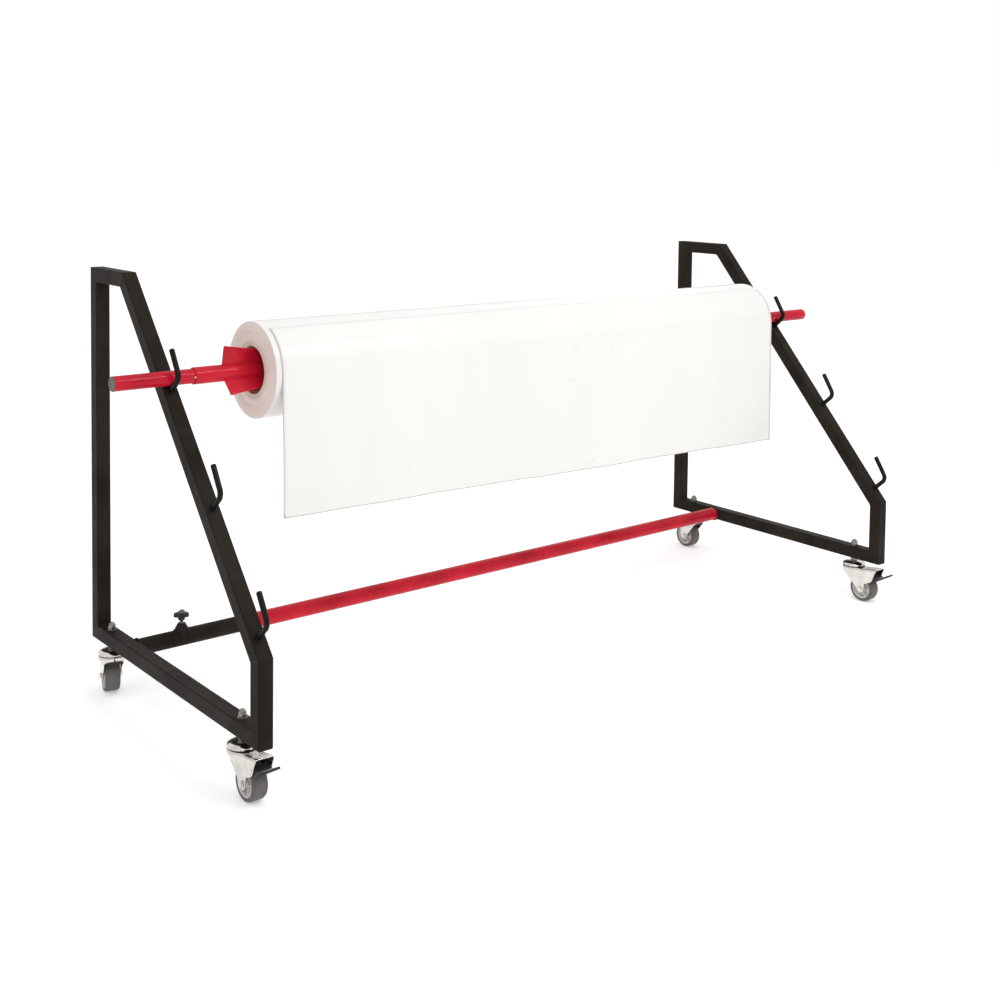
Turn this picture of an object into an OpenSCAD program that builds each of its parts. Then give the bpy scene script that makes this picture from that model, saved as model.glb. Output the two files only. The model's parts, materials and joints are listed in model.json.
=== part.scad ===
// Mobile dispenser for a wide roll of film: two side frames on castors, joined by
// a telescopic cross bar, carry a roll bar in one of three pairs of hooks.
// X runs across the width, the free end of the film hangs towards -Y, and the
// origin is on the floor in the middle of the footprint.

/* [Side frames] */
// Width over the outer faces of the two side frames
frame_w = 2386; // [2200:1:2700]
// Depth of a side frame
frame_d = 938; // [860:1:1000]
// Height of a side frame, from the underside of its bottom rail
frame_h = 1037; // [1000:1:1150]
// Length of the level top rail
top_len = 211; // [160:1:260]
// Height of the bend between the front post and the inclined tube
post_h = 211; // [160:1:240]
// Side of the square tube
tube = 40; // [36:1:42]
// Corner radius of the square tube
tube_r = 4; // [2:0.5:5]
// Wall of the square tube
tube_wall = 2.5; // [1.5:0.5:3]

/* [Hooks] */
// Distance up the inclined tube from its lower bend to the lowest hook
hook_first = 55; // [45:1:70]
// Distance between hooks along the inclined tube
hook_pitch = 335; // [280:1:340]
// Diameter of the hook rod
rod_d = 14; // [10:1:14]
// Distance of the rod's elbow from the face of the inclined tube
hook_reach = 62; // [58:1:70]
// Height of the hook's free end above its root
hook_rise = 78; // [65:1:90]
// Radius of the bend in the rod
hook_bend = 20; // [16:1:24]
// Outward lean of the hook's free end
hook_flare = 9; // [0:1:12]

/* [Cross bar] */
// Outer diameter of the cross bar's two outer tubes
cross_d = 45; // [40:1:48]
// Wall of the cross bar's outer tubes
cross_wall = 2.5; // [2:0.5:3]
// Distance of the cross bar's axis behind the front of the frames
cross_back = 730; // [660:1:780]
// Length of the black socket tube
socket_len = 330; // [280:1:420]
// Length of the inner spigot tube
spigot_len = 470; // [430:1:560]
// Distance of the clamp from the left side frame
clamp_in = 130; // [80:1:180]
// Diameter of the clamp stud
stud_d = 10; // [8:1:12]

/* [Roll bar] */
// Outer diameter of the roll bar
bar_d = 38; // [34:0.5:40]
// Wall of the roll bar
bar_wall = 2.5; // [2:0.1:3.2]
// Length of the roll bar past each side frame
bar_over = 137; // [80:1:180]

/* [Film roll] */
// Width of the wound film
film_w = 1946; // [1700:1:1946]
// Distance of the roll's middle to the right of the frames' middle
film_offset = 30; // [0:0.5:30]
// Diameter of the roll
roll_d = 258; // [180:1:270]
// Inner diameter of the cardboard core
core_id = 126; // [126:0.5:130]
// Outer diameter of the cardboard core
core_od = 151; // [140:1:156]
// Length of the free end on the left, measured down from the bar's axis
drop_left = 368; // [200:1:460]
// Length of the free end on the right, measured down from the bar's axis
drop_right = 402; // [200:1:460]

/* [Core plugs] */
// Outer diameter of the plug's sleeve
sleeve_d = 44; // [43:0.5:48]
// Length of sleeve outside the fins
sleeve_out = 80; // [50:1:80]
// Length of sleeve past the inner end of the fins
sleeve_in = 10; // [4:1:20]
// Length of a fin
fin_len = 130; // [110:1:150]
// Distance of a fin's outer corner from the bar's axis
fin_r = 74; // [70:0.5:74]
// Thickness of a fin
fin_t = 5; // [3:1:6]
// Taper of the fins
fin_taper = 10.25; // [10.1:0.05:12]
// Turn of the first fin from upright, towards the front
fin_turn = 12; // [0:1:60]
// Length of fin that stays outside the core at the left plug
fin_out_left = 90; // [75:1:90]
// Length of fin that stays outside the core at the right plug
fin_out_right = 62; // [61:1:63]

/* [Castors] */
// Height of a castor from the floor to the underside of the bottom rail
castor_h = 139; // [137:1:150]
// Diameter of the wheel
wheel_d = 88; // [84:1:88]
// Width of the tyre
tyre_w = 42; // [36:1:42]
// Distance of the axle behind the swivel axis on the braked front castors
trail_front = 44; // [42:1:46]
// Distance of the axle behind the swivel axis on the rear castors
trail_rear = 28; // [24:1:32]
// Turn of the rear left castor towards the middle of the dispenser
rear_left_turn = 14; // [0:1:30]
// Distance of the front castors' stems behind the front of the frames
stem_front = 110; // [100:1:125]
// Distance of the rear castors' stems in front of the back of the frames
stem_rear = 91; // [88:1:110]
// Diameter of the castor's stem
stem_d = 12; // [10:1:12]
// Distance of the brake pedal's tip in front of the frames
pedal_over = 37; // [30:1:40]

/* [Hidden] */
$fn = 64;

LEFT = -1;
RIGHT = 1;
frame_black = [0.17, 0.155, 0.145];
bar_red = [0.78, 0.14, 0.2];
hook_black = [0.06, 0.06, 0.06];
zinc = [0.82, 0.82, 0.84];
tyre_grey = [0.36, 0.34, 0.33];
wheel_grey = [0.78, 0.78, 0.79];
film_white = [0.95, 0.93, 0.9];
card = [0.88, 0.82, 0.76];

// Running clearance of a shaft in its hole, and the gap between faces that slide past each other
run_gap = 0.05;
face_gap = 0.3;

// Side frame outline in the YZ plane, clockwise from the front bottom corner
front_y = -(frame_d - pedal_over) / 2;
back_y = front_y + frame_d;
frame_pts = [
    [front_y, castor_h],
    [front_y, castor_h + post_h],
    [back_y - top_len, castor_h + frame_h],
    [back_y, castor_h + frame_h],
    [back_y, castor_h]
];
function unit(v) = v / norm(v);
function edge_normal(i) = let (d = unit(frame_pts[(i + 1) % 5] - frame_pts[i % 5])) [d[1], -d[0]];
function inner_pt(i) = let (a = edge_normal(i + 4), b = edge_normal(i)) frame_pts[i] + tube * (a + b) / (1 + a * b);

// The inclined tube: its lower outer bend, its direction and its outward normal
bend_pt = frame_pts[1];
up_incline = unit(frame_pts[2] - frame_pts[1]);
out_incline = -edge_normal(1);
lean = atan2(up_incline[0], up_incline[1]);
function on_incline(s, n) = bend_pt + s * up_incline + n * out_incline;

// Heights of hooks along the inclined tube, and the roll bar's rest above the top pair
hook_s = [hook_first, hook_first + hook_pitch, hook_first + 2 * hook_pitch];
bar_at = on_incline(hook_s[2] + (rod_d + bar_d) / 2 + face_gap, bar_d / 2 + face_gap);
bar_y = bar_at[0];
bar_z = bar_at[1];
bar_len = frame_w + 2 * bar_over;
cap_flange = 3;
cap_depth = 22;

// Angle by which a hook's bend laps over its two straight legs, and how much thicker the bend is
elbow_lap = 3;
elbow_swell = 0.1;

// Middle planes of the side frames
inner_x = frame_w / 2 - tube;
mid_x = frame_w / 2 - tube / 2;

// Cross bar
cross_y = front_y + cross_back;
cross_z = castor_h + tube / 2;
cross_id = cross_d - 2 * cross_wall;
spigot_d = cross_id - 2 * run_gap;
spigot_wall = 3;
socket_end_x = -inner_x + socket_len;
spigot_start_x = -inner_x + 10;
clamp_x = -inner_x + clamp_in;
clamp_nut_d = 22;
clamp_foot_d = 40;
clamp_nut_top = cross_z + cross_d / 2 + 18;
knob_bottom = clamp_nut_top + 9;
knob_h = 22;
knob_lobe_r = 18;

// Film roll, its core and the plugs
film_x0 = film_offset - film_w / 2;
film_x1 = film_offset + film_w / 2;
core_gap = 0.2;
fin_left_x = film_x0 - fin_out_left;
fin_right_x = film_x1 + fin_out_right;
sleeve_len = sleeve_out + fin_len + sleeve_in;
left_sleeve_x = fin_left_x - sleeve_out;
right_sleeve_x = fin_right_x + sleeve_out;
pin_d = 5;
pin_len = bar_d + 8;
sheet_t = 2;
sheet_gap = 0.5;
sheet_inset_left = 16;
sheet_inset_right = 1;
sheet_top = 12;

// Castors, in their own frame: stem axis at x = y = 0, floor at z = 0, wheel trailing to +y
axle_z = wheel_d / 2;
axle_d = 8;
rim_d = 66;
hub_w = tyre_w + 2;
leg_in = hub_w / 2 + 0.7;
leg_t = 3;
leg_end_r = 13;
race_r = 38;
plate_z = castor_h - 30;
plate_t = 3;
race_top = castor_h - 12;
fork_top = castor_h - 25;
lock_nut_h = 9;
washer_t = 2.5;
kingpin_d = 14;
nut_across = 19;
hood_y = 104;
hood_rise = 8;
pedal_pin_y = 86;
pedal_pin_z = castor_h - 49;
pedal_pin_d = 5;
pedal_tip_y = stem_front + pedal_over;
pedal_root = [85, castor_h - 69];
pedal_end_z = castor_h - 33;
pedal_t = 6;
pedal_w = 40;
pedal_tip_w = 14;
pedal_skew = 12;
pedal_slope = atan2(pedal_end_z - pedal_root[1], pedal_tip_y - pedal_root[0]);

// Draws its 2D child in the YZ plane and extrudes it along X from x0
module yz_prism(x0, w) {
    translate([x0, 0, 0])
        rotate([90, 0, 90])
            linear_extrude(w)
                children();
}

module round_square(side, r) {
    square([side - 2 * r, side], center = true);
    square([side, side - 2 * r], center = true);
    for (x = [-1, 1], y = [-1, 1])
        translate([x, y] * (side / 2 - r))
            circle(r, $fn = 24);
}

// One mitred tube of a side frame, along edge i of the outline
module frame_tube(side, i) {
    a = frame_pts[i];
    b = frame_pts[(i + 1) % 5];
    ia = inner_pt(i);
    ib = inner_pt((i + 1) % 5);
    middle = (a + b) / 2 - edge_normal(i) * -tube / 2;
    along = b - a;
    reach = norm(along) + 2 * tube;
    color(frame_black)
        intersection() {
            yz_prism(side * mid_x - tube / 2 - 1, tube + 2)
                polygon([a, b, ib, ia]);
            translate([side * mid_x, middle[0], middle[1]])
                rotate([-atan2(along[0], along[1]), 0, 0])
                    linear_extrude(reach, center = true)
                        difference() {
                            round_square(tube, tube_r);
                            round_square(tube - 2 * tube_wall, tube_r - tube_wall);
                        }
        }
}

// Bottom rail with a through hole for each castor stem
module bottom_rail(side) {
    difference() {
        frame_tube(side, 4);
        for (y = [front_y + stem_front, back_y - stem_rear])
            translate([side * mid_x, y, castor_h - 1])
                cylinder(h = tube + 2, d = stem_d + 0.5);
    }
}

// Bent rod hook, welded to the front face of the inclined tube
module hook(side, s) {
    root = on_incline(s, 0);
    turn = 90 - hook_flare;
    leg = hook_reach - hook_bend;
    end_s = hook_bend * (1 - cos(turn));
    end_n = leg + hook_bend * sin(turn);
    tip = (hook_rise - end_s) / cos(hook_flare);
    color(hook_black)
        translate([side * mid_x, root[0], root[1]])
            rotate([90, 0, -90])
                rotate([0, 0, lean]) {
                    rotate([0, 90, 0])
                        cylinder(h = leg, d = rod_d, $fn = 32);
                    translate([leg, hook_bend, 0])
                        rotate([0, 0, -90 - elbow_lap])
                            rotate_extrude(angle = turn + 2 * elbow_lap, $fn = 64)
                                translate([hook_bend, 0])
                                    circle(d = rod_d + elbow_swell, $fn = 32);
                    translate([end_n, end_s, 0])
                        rotate([0, 0, -hook_flare])
                            rotate([-90, 0, 0]) {
                                cylinder(h = tip, d = rod_d, $fn = 32);
                                translate([0, 0, tip])
                                    cylinder(h = 1.5, d1 = rod_d, d2 = rod_d - 3, $fn = 32);
                            }
                }
}

// A tube along X, from x0 to x1
module x_tube(x0, x1, od, id) {
    translate([x0, 0, 0])
        rotate([0, 90, 0])
            difference() {
                cylinder(h = x1 - x0, d = od);
                translate([0, 0, -1])
                    cylinder(h = x1 - x0 + 2, d = id);
            }
}

module at_cross() {
    translate([0, cross_y, cross_z])
        children();
}

module at_clamp() {
    translate([clamp_x, cross_y, 0])
        children();
}

module crossbar_socket() {
    color(frame_black)
        difference() {
            at_cross()
                x_tube(-inner_x, socket_end_x, cross_d, cross_id);
            at_clamp()
                translate([0, 0, cross_z])
                    cylinder(h = cross_d, d = stud_d + 2 * run_gap);
        }
}

// Threaded boss on the socket tube, with a wide foot that tapers to its top
module clamp_nut() {
    color(frame_black)
        difference() {
            at_clamp()
                translate([0, 0, cross_z]) {
                    cylinder(h = cross_d / 2, d = clamp_foot_d);
                    translate([0, 0, cross_d / 2 - 0.01])
                        cylinder(h = clamp_nut_top - cross_z - cross_d / 2 + 0.01, d1 = clamp_foot_d, d2 = clamp_nut_d);
                }
            at_clamp()
                translate([0, 0, cross_z])
                    cylinder(h = cross_d * 2, d = stud_d + 2 * run_gap);
            at_cross()
                translate([-inner_x, 0, 0])
                    rotate([0, 90, 0])
                        cylinder(h = socket_len, d = cross_d);
        }
}

module clamp_stud() {
    color(zinc)
        at_clamp()
            translate([0, 0, cross_z + spigot_d / 2 + face_gap])
                cylinder(h = knob_bottom + 10 - cross_z - spigot_d / 2 - face_gap, d = stud_d);
}

// Hand knob with three lobes, over a tapered neck that takes the stud
module clamp_knob() {
    neck_h = knob_h / 2;
    color(hook_black)
        at_clamp()
            difference() {
                translate([0, 0, knob_bottom]) {
                    cylinder(h = neck_h + 0.5, d1 = stud_d + 8, d2 = 22);
                    translate([0, 0, neck_h])
                        linear_extrude(knob_h - neck_h) {
                            circle(d = 25);
                            for (turn = [60, 180, 300])
                                rotate([0, 0, turn]) {
                                    translate([0, -4.4])
                                        square([knob_lobe_r, 8.8]);
                                    translate([knob_lobe_r, 0])
                                        circle(d = 10);
                                }
                        }
                }
                translate([0, 0, knob_bottom - 1])
                    cylinder(h = 11, d = stud_d);
            }
}

module crossbar_tube() {
    color(bar_red)
        at_cross()
            x_tube(socket_end_x + face_gap, inner_x, cross_d, cross_id);
}

module crossbar_spigot() {
    color(zinc)
        at_cross()
            x_tube(spigot_start_x, spigot_start_x + spigot_len, spigot_d, spigot_d - 2 * spigot_wall);
}

module at_bar() {
    translate([0, bar_y, bar_z])
        children();
}

module pin_holes(d) {
    for (x = [left_sleeve_x - pin_d / 2 - 1, right_sleeve_x + pin_d / 2 + 1])
        translate([x, 0, 0])
            rotate([90, 0, 0])
                cylinder(h = pin_len, d = d, center = true, $fn = 24);
}

module roll_bar() {
    color(bar_red)
        at_bar()
            difference() {
                x_tube(-bar_len / 2 + cap_flange, bar_len / 2 - cap_flange, bar_d, bar_d - 2 * bar_wall);
                pin_holes(pin_d + 0.1);
            }
}

module bar_cap(side) {
    color([0.3, 0.28, 0.26])
        at_bar()
            translate([side * bar_len / 2, 0, 0])
                rotate([0, -90 * side, 0]) {
                    cylinder(h = cap_flange, d = bar_d);
                    cylinder(h = cap_depth, d = bar_d - 2 * bar_wall - 0.1);
                }
}

module stop_pins() {
    color(zinc)
        at_bar()
            pin_holes(pin_d);
}

// Sleeve of a core plug, from x0 to x1
module plug_sleeve(x0, x1) {
    color(bar_red)
        at_bar()
            x_tube(x0, x1, sleeve_d, bar_d + 2 * run_gap);
}

// Three tapered plates round the sleeve; x is their outer end and side the way they point from it
module plug_fins(x, side) {
    end_r = fin_r - fin_len * tan(fin_taper);
    color(bar_red)
        at_bar()
            translate([x, 0, 0])
                rotate([90, 0, 0])
                    difference() {
                        for (i = [0:2])
                            rotate([-fin_turn - 120 * i, 0, 0])
                                linear_extrude(fin_t, center = true)
                                    polygon([
                                        [0, sleeve_d / 2 - 1], [0, fin_r],
                                        [side * fin_len, end_r], [side * fin_len, sleeve_d / 2 - 1]
                                    ]);
                        rotate([0, 90, 0])
                            cylinder(h = 2 * fin_len + 2, d = sleeve_d, center = true);
                    }
}

module film_core() {
    color(card)
        at_bar()
            x_tube(film_x0, film_x1, core_od, core_id);
}

module film_roll() {
    color(film_white)
        at_bar()
            x_tube(film_x0, film_x1, roll_d, core_od + 2 * core_gap);
}

// The free end of the film, a thin plate in front of the roll with a slanted lower edge
module film_sheet() {
    color(film_white)
        translate([0, bar_y - roll_d / 2 - sheet_gap, bar_z])
            rotate([90, 0, 0])
                linear_extrude(sheet_t)
                    polygon([
                        [film_x0 + sheet_inset_left, sheet_top],
                        [film_x0 + sheet_inset_left, -drop_left],
                        [film_x1 - sheet_inset_right, -drop_right],
                        [film_x1 - sheet_inset_right, sheet_top]
                    ]);
}

// Puts a castor's own frame at its stem; front castors trail forwards, rear ones backwards
function castor_turn(side, front) = front ? 180 : (side == LEFT ? -rear_left_turn : 0);
module at_castor(side, front) {
    translate([side * mid_x, front ? front_y + stem_front : back_y - stem_rear, 0])
        rotate([0, 0, castor_turn(side, front)])
            children();
}

// Threaded stem with the lock nut, the washer, the upper race cup and the kingpin
module castor_stem() {
    color(zinc) {
        translate([0, 0, castor_h - washer_t])
            cylinder(h = washer_t, d = 26);
        translate([0, 0, castor_h - washer_t - lock_nut_h])
            cylinder(h = lock_nut_h, d = nut_across / cos(30), $fn = 6);
        translate([0, 0, plate_z - 3])
            cylinder(h = castor_h + tube + 14 - plate_z + 3, d = stem_d);
        rotate_extrude()
            polygon([
                [0, fork_top + 0.5], [race_r - 1, fork_top + 0.5], [race_r, fork_top + 1.5],
                [race_r, fork_top + 3.5], [race_r - 3, race_top - 5.5],
                [race_r - 11, race_top - 1.8], [race_r - 18, race_top], [0, race_top]
            ]);
        translate([0, 0, plate_z - 5])
            cylinder(h = 4.6, d = kingpin_d + 6);
    }
}

// Domed nut with its washer on top of the bottom rail
module dome_nut() {
    base = castor_h + tube;
    hex_h = 11;
    dome_r = nut_across / 2 - 0.5;
    difference() {
        union() {
            translate([0, 0, base])
                cylinder(h = washer_t, d = 24);
            translate([0, 0, base + washer_t])
                cylinder(h = hex_h, d = nut_across / cos(30), $fn = 6);
            translate([0, 0, base + washer_t + hex_h - 0.01])
                intersection() {
                    sphere(dome_r);
                    cylinder(h = dome_r, r = dome_r);
                }
        }
        translate([0, 0, base - 1])
            cylinder(h = 15 + 0.2, d = stem_d + 0.1);
    }
}

module castor_nuts(side) {
    color(zinc)
        for (front = [true, false])
            at_castor(side, front)
                dome_nut();
}

// Side outline of a fork leg: a tapered plate from the crown down to the axle
module leg_outline(trail, braked) {
    crown = plate_z + plate_t;
    front = braked ?
        [
            [trail + leg_end_r, axle_z + 6], [trail + leg_end_r + 5, axle_z + 15], [hood_y - 16, pedal_pin_z - 14],
            [hood_y - 8, pedal_pin_z + 4], [hood_y, crown - 2], [hood_y, crown + hood_rise], [race_r + 2, crown]
        ] :
        [
            [trail + leg_end_r, axle_z + 6], [trail + leg_end_r + 1, axle_z + 22],
            [race_r + 1, plate_z - 8], [race_r + 6, plate_z], [race_r + 4, crown]
        ];
    back = [[-race_r + 4, crown], [-race_r + 4, crown - 12], [trail - leg_end_r, axle_z - 3]];
    difference() {
        union() {
            polygon(concat(back, front));
            translate([trail, axle_z])
                circle(leg_end_r);
        }
        translate([trail, axle_z])
            circle(d = axle_d + 0.1);
        if (braked)
            translate([pedal_pin_y, pedal_pin_z])
                circle(d = pedal_pin_d + 0.1);
    }
}

// Swivel fork: lower race, crown plate, two legs and, on braked castors, a rising hood
module castor_fork(trail, braked) {
    crown = plate_z + plate_t;
    half = leg_in + leg_t;
    color(zinc) {
        difference() {
            union() {
                translate([0, 0, crown - 0.01])
                    cylinder(h = fork_top - crown + 0.01, r1 = race_r - 2, r2 = race_r - 1);
                translate([0, 0, plate_z])
                    cylinder(h = plate_t, r = race_r);
                translate([-half, 0, plate_z])
                    cube([2 * half, race_r + 3, plate_t]);
                if (braked)
                    yz_prism(-half, 2 * half)
                        polygon([
                            [race_r + 2, plate_z], [hood_y, plate_z + hood_rise],
                            [hood_y, crown + hood_rise], [race_r + 2, crown]
                        ]);
            }
            translate([0, 0, plate_z - 1])
                cylinder(h = fork_top - plate_z + 2, d = stem_d + 2 * run_gap);
        }
        for (x = [-half, leg_in])
            yz_prism(x, leg_t)
                leg_outline(trail, braked);
    }
}

// Axle bolt across the fork, with its head and nut outside the legs
module castor_axle(trail) {
    head_h = 5;
    span = leg_in + leg_t;
    color(zinc)
        translate([0, trail, axle_z])
            rotate([0, 90, 0]) {
                cylinder(h = 2 * span, d = axle_d, center = true);
                translate([0, 0, span])
                    cylinder(h = head_h, d = 13 / cos(30), $fn = 6);
                translate([0, 0, -span - head_h])
                    cylinder(h = head_h, d = 13 / cos(30), $fn = 6);
            }
}

// Wheel centre with a dished web and a bored hub
module castor_wheel(trail) {
    color(wheel_grey)
        translate([0, trail, axle_z])
            rotate([0, 90, 0])
                rotate_extrude()
                    polygon([
                        [axle_d / 2 + run_gap, -hub_w / 2], [11, -hub_w / 2], [12, -hub_w / 2 + 5],
                        [rim_d / 2 - 6, -hub_w / 2 + 6], [rim_d / 2 - 3, -tyre_w / 2 + 1],
                        [rim_d / 2, -tyre_w / 2 + 1], [rim_d / 2, tyre_w / 2 - 1],
                        [rim_d / 2 - 3, tyre_w / 2 - 1], [rim_d / 2 - 6, hub_w / 2 - 6],
                        [12, hub_w / 2 - 5], [11, hub_w / 2], [axle_d / 2 + run_gap, hub_w / 2]
                    ]);
}

module castor_tyre(trail) {
    edge = 4;
    outer = wheel_d / 2;
    color(tyre_grey)
        translate([0, trail, axle_z])
            rotate([0, 90, 0])
                rotate_extrude() {
                    translate([rim_d / 2, -tyre_w / 2])
                        square([outer - edge - rim_d / 2, tyre_w]);
                    translate([rim_d / 2, -tyre_w / 2 + edge])
                        square([outer - rim_d / 2, tyre_w - 2 * edge]);
                    for (z = [-1, 1])
                        translate([outer - edge, z * (tyre_w / 2 - edge)])
                            circle(edge, $fn = 24);
                }
}

// Foot pedal: a tread plate that narrows to a round tip, and a cam block on the pivot pin
module castor_pedal() {
    length = norm([pedal_tip_y, pedal_end_z] - pedal_root) - pedal_tip_w / 2;
    color(hook_black)
        difference() {
            union() {
                translate([0, pedal_root[0], pedal_root[1]])
                    rotate([pedal_slope, 0, 0])
                        linear_extrude(pedal_t) {
                            polygon([
                                [-pedal_w / 2, 0], [pedal_w / 2, 0],
                                [pedal_tip_w / 2 - pedal_skew, length],
                                [-pedal_tip_w / 2 - pedal_skew, length]
                            ]);
                            translate([-pedal_skew, length])
                                circle(d = pedal_tip_w);
                        }
                yz_prism(-leg_in + 1, 2 * leg_in - 2)
                    polygon([
                        [pedal_pin_y - 8, pedal_pin_z - 6], [pedal_pin_y - 8, pedal_pin_z + 6],
                        [pedal_pin_y, pedal_pin_z + 9], [pedal_pin_y + 18, pedal_pin_z + 2],
                        [pedal_pin_y + 24, pedal_pin_z - 4], [pedal_pin_y + 4, pedal_pin_z - 16]
                    ]);
            }
            translate([0, pedal_pin_y, pedal_pin_z])
                rotate([0, 90, 0])
                    cylinder(h = 2 * leg_in + 2, d = pedal_pin_d + 2 * run_gap, center = true);
        }
}

module castor_pedal_pin() {
    color(zinc)
        translate([0, pedal_pin_y, pedal_pin_z])
            rotate([0, 90, 0])
                cylinder(h = 2 * (leg_in + leg_t) + 2, d = pedal_pin_d, center = true);
}

frame_tube(LEFT, 3);  // left_upright
frame_tube(LEFT, 2);  // left_top_rail
frame_tube(LEFT, 1);  // left_incline
frame_tube(LEFT, 0);  // left_front_post
bottom_rail(LEFT);  // left_bottom_rail
hook(LEFT, hook_s[0]);  // left_hook_low
hook(LEFT, hook_s[1]);  // left_hook_mid
hook(LEFT, hook_s[2]);  // left_hook_top
frame_tube(RIGHT, 3);  // right_upright
frame_tube(RIGHT, 2);  // right_top_rail
frame_tube(RIGHT, 1);  // right_incline
frame_tube(RIGHT, 0);  // right_front_post
bottom_rail(RIGHT);  // right_bottom_rail
hook(RIGHT, hook_s[0]);  // right_hook_low
hook(RIGHT, hook_s[1]);  // right_hook_mid
hook(RIGHT, hook_s[2]);  // right_hook_top
crossbar_socket();
clamp_nut();
clamp_stud();
clamp_knob();
crossbar_tube();
crossbar_spigot();
roll_bar();
bar_cap(LEFT);  // bar_cap_left
bar_cap(RIGHT);  // bar_cap_right
stop_pins();
plug_sleeve(left_sleeve_x, left_sleeve_x + sleeve_len);  // plug_sleeve_left
plug_fins(fin_left_x, RIGHT);  // plug_fins_left
plug_sleeve(right_sleeve_x - sleeve_len, right_sleeve_x);  // plug_sleeve_right
plug_fins(fin_right_x, LEFT);  // plug_fins_right
film_core();
film_roll();
film_sheet();
castor_nuts(LEFT);  // left_castor_nuts
castor_nuts(RIGHT);  // right_castor_nuts
at_castor(LEFT, true) castor_stem();  // front_left_stem
at_castor(LEFT, true) castor_fork(trail_front, true);  // front_left_fork
at_castor(LEFT, true) castor_axle(trail_front);  // front_left_axle
at_castor(LEFT, true) castor_wheel(trail_front);  // front_left_wheel
at_castor(LEFT, true) castor_tyre(trail_front);  // front_left_tyre
at_castor(LEFT, true) castor_pedal();  // front_left_pedal
at_castor(LEFT, true) castor_pedal_pin();  // front_left_pedal_pin
at_castor(RIGHT, true) castor_stem();  // front_right_stem
at_castor(RIGHT, true) castor_fork(trail_front, true);  // front_right_fork
at_castor(RIGHT, true) castor_axle(trail_front);  // front_right_axle
at_castor(RIGHT, true) castor_wheel(trail_front);  // front_right_wheel
at_castor(RIGHT, true) castor_tyre(trail_front);  // front_right_tyre
at_castor(RIGHT, true) castor_pedal();  // front_right_pedal
at_castor(RIGHT, true) castor_pedal_pin();  // front_right_pedal_pin
at_castor(LEFT, false) castor_stem();  // rear_left_stem
at_castor(LEFT, false) castor_fork(trail_rear, false);  // rear_left_fork
at_castor(LEFT, false) castor_axle(trail_rear);  // rear_left_axle
at_castor(LEFT, false) castor_wheel(trail_rear);  // rear_left_wheel
at_castor(LEFT, false) castor_tyre(trail_rear);  // rear_left_tyre
at_castor(RIGHT, false) castor_stem();  // rear_right_stem
at_castor(RIGHT, false) castor_fork(trail_rear, false);  // rear_right_fork
at_castor(RIGHT, false) castor_axle(trail_rear);  // rear_right_axle
at_castor(RIGHT, false) castor_wheel(trail_rear);  // rear_right_wheel
at_castor(RIGHT, false) castor_tyre(trail_rear);  // rear_right_tyre
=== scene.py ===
import math
import json
import bpy
import numpy as np
from mathutils import Matrix, Vector


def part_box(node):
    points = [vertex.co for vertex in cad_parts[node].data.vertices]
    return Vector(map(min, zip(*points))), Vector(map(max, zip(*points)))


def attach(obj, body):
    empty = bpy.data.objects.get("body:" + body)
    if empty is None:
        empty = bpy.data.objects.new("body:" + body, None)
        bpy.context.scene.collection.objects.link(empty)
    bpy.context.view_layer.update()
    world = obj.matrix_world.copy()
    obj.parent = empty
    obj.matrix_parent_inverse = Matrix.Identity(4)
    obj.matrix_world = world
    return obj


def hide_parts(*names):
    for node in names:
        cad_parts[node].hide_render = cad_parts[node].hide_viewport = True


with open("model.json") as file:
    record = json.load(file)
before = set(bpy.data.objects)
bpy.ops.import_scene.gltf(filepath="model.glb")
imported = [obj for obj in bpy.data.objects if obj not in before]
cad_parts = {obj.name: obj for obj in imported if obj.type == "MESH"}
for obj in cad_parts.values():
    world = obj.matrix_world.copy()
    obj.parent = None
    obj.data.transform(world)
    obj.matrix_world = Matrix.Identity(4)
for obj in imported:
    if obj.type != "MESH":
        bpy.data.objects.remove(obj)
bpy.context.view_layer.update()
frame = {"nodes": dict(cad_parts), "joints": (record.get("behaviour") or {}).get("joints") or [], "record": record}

nodes = frame["nodes"]
record = frame["record"]
jointByName = {j["name"]: j for j in frame["joints"]}


# mesh helpers: every surface is a grid of points worked out with numpy

def gridFaces(rows, cols, closeRows=False, closeCols=False):
    # quads between neighbouring points of a rows x cols grid; a closed direction joins its last line to its first
    i = np.arange(rows if closeRows else rows - 1)
    j = np.arange(cols if closeCols else cols - 1)
    i, j = np.meshgrid(i, j, indexing="ij")
    i, j = i.ravel(), j.ravel()
    nextI, nextJ = (i + 1) % rows, (j + 1) % cols
    return np.stack([i * cols + j, nextI * cols + j, nextI * cols + nextJ, i * cols + nextJ], axis=1)


def turnBasis(axis):
    # two unit vectors that are square to an axis and to each other
    w = np.array(axis, float)
    w /= np.linalg.norm(w)
    helper = np.array([0, 0, 1.0]) if abs(w[2]) < 0.9 else np.array([1.0, 0, 0])
    u = np.cross(helper, w)
    u /= np.linalg.norm(u)
    return u, np.cross(w, u), w


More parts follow.
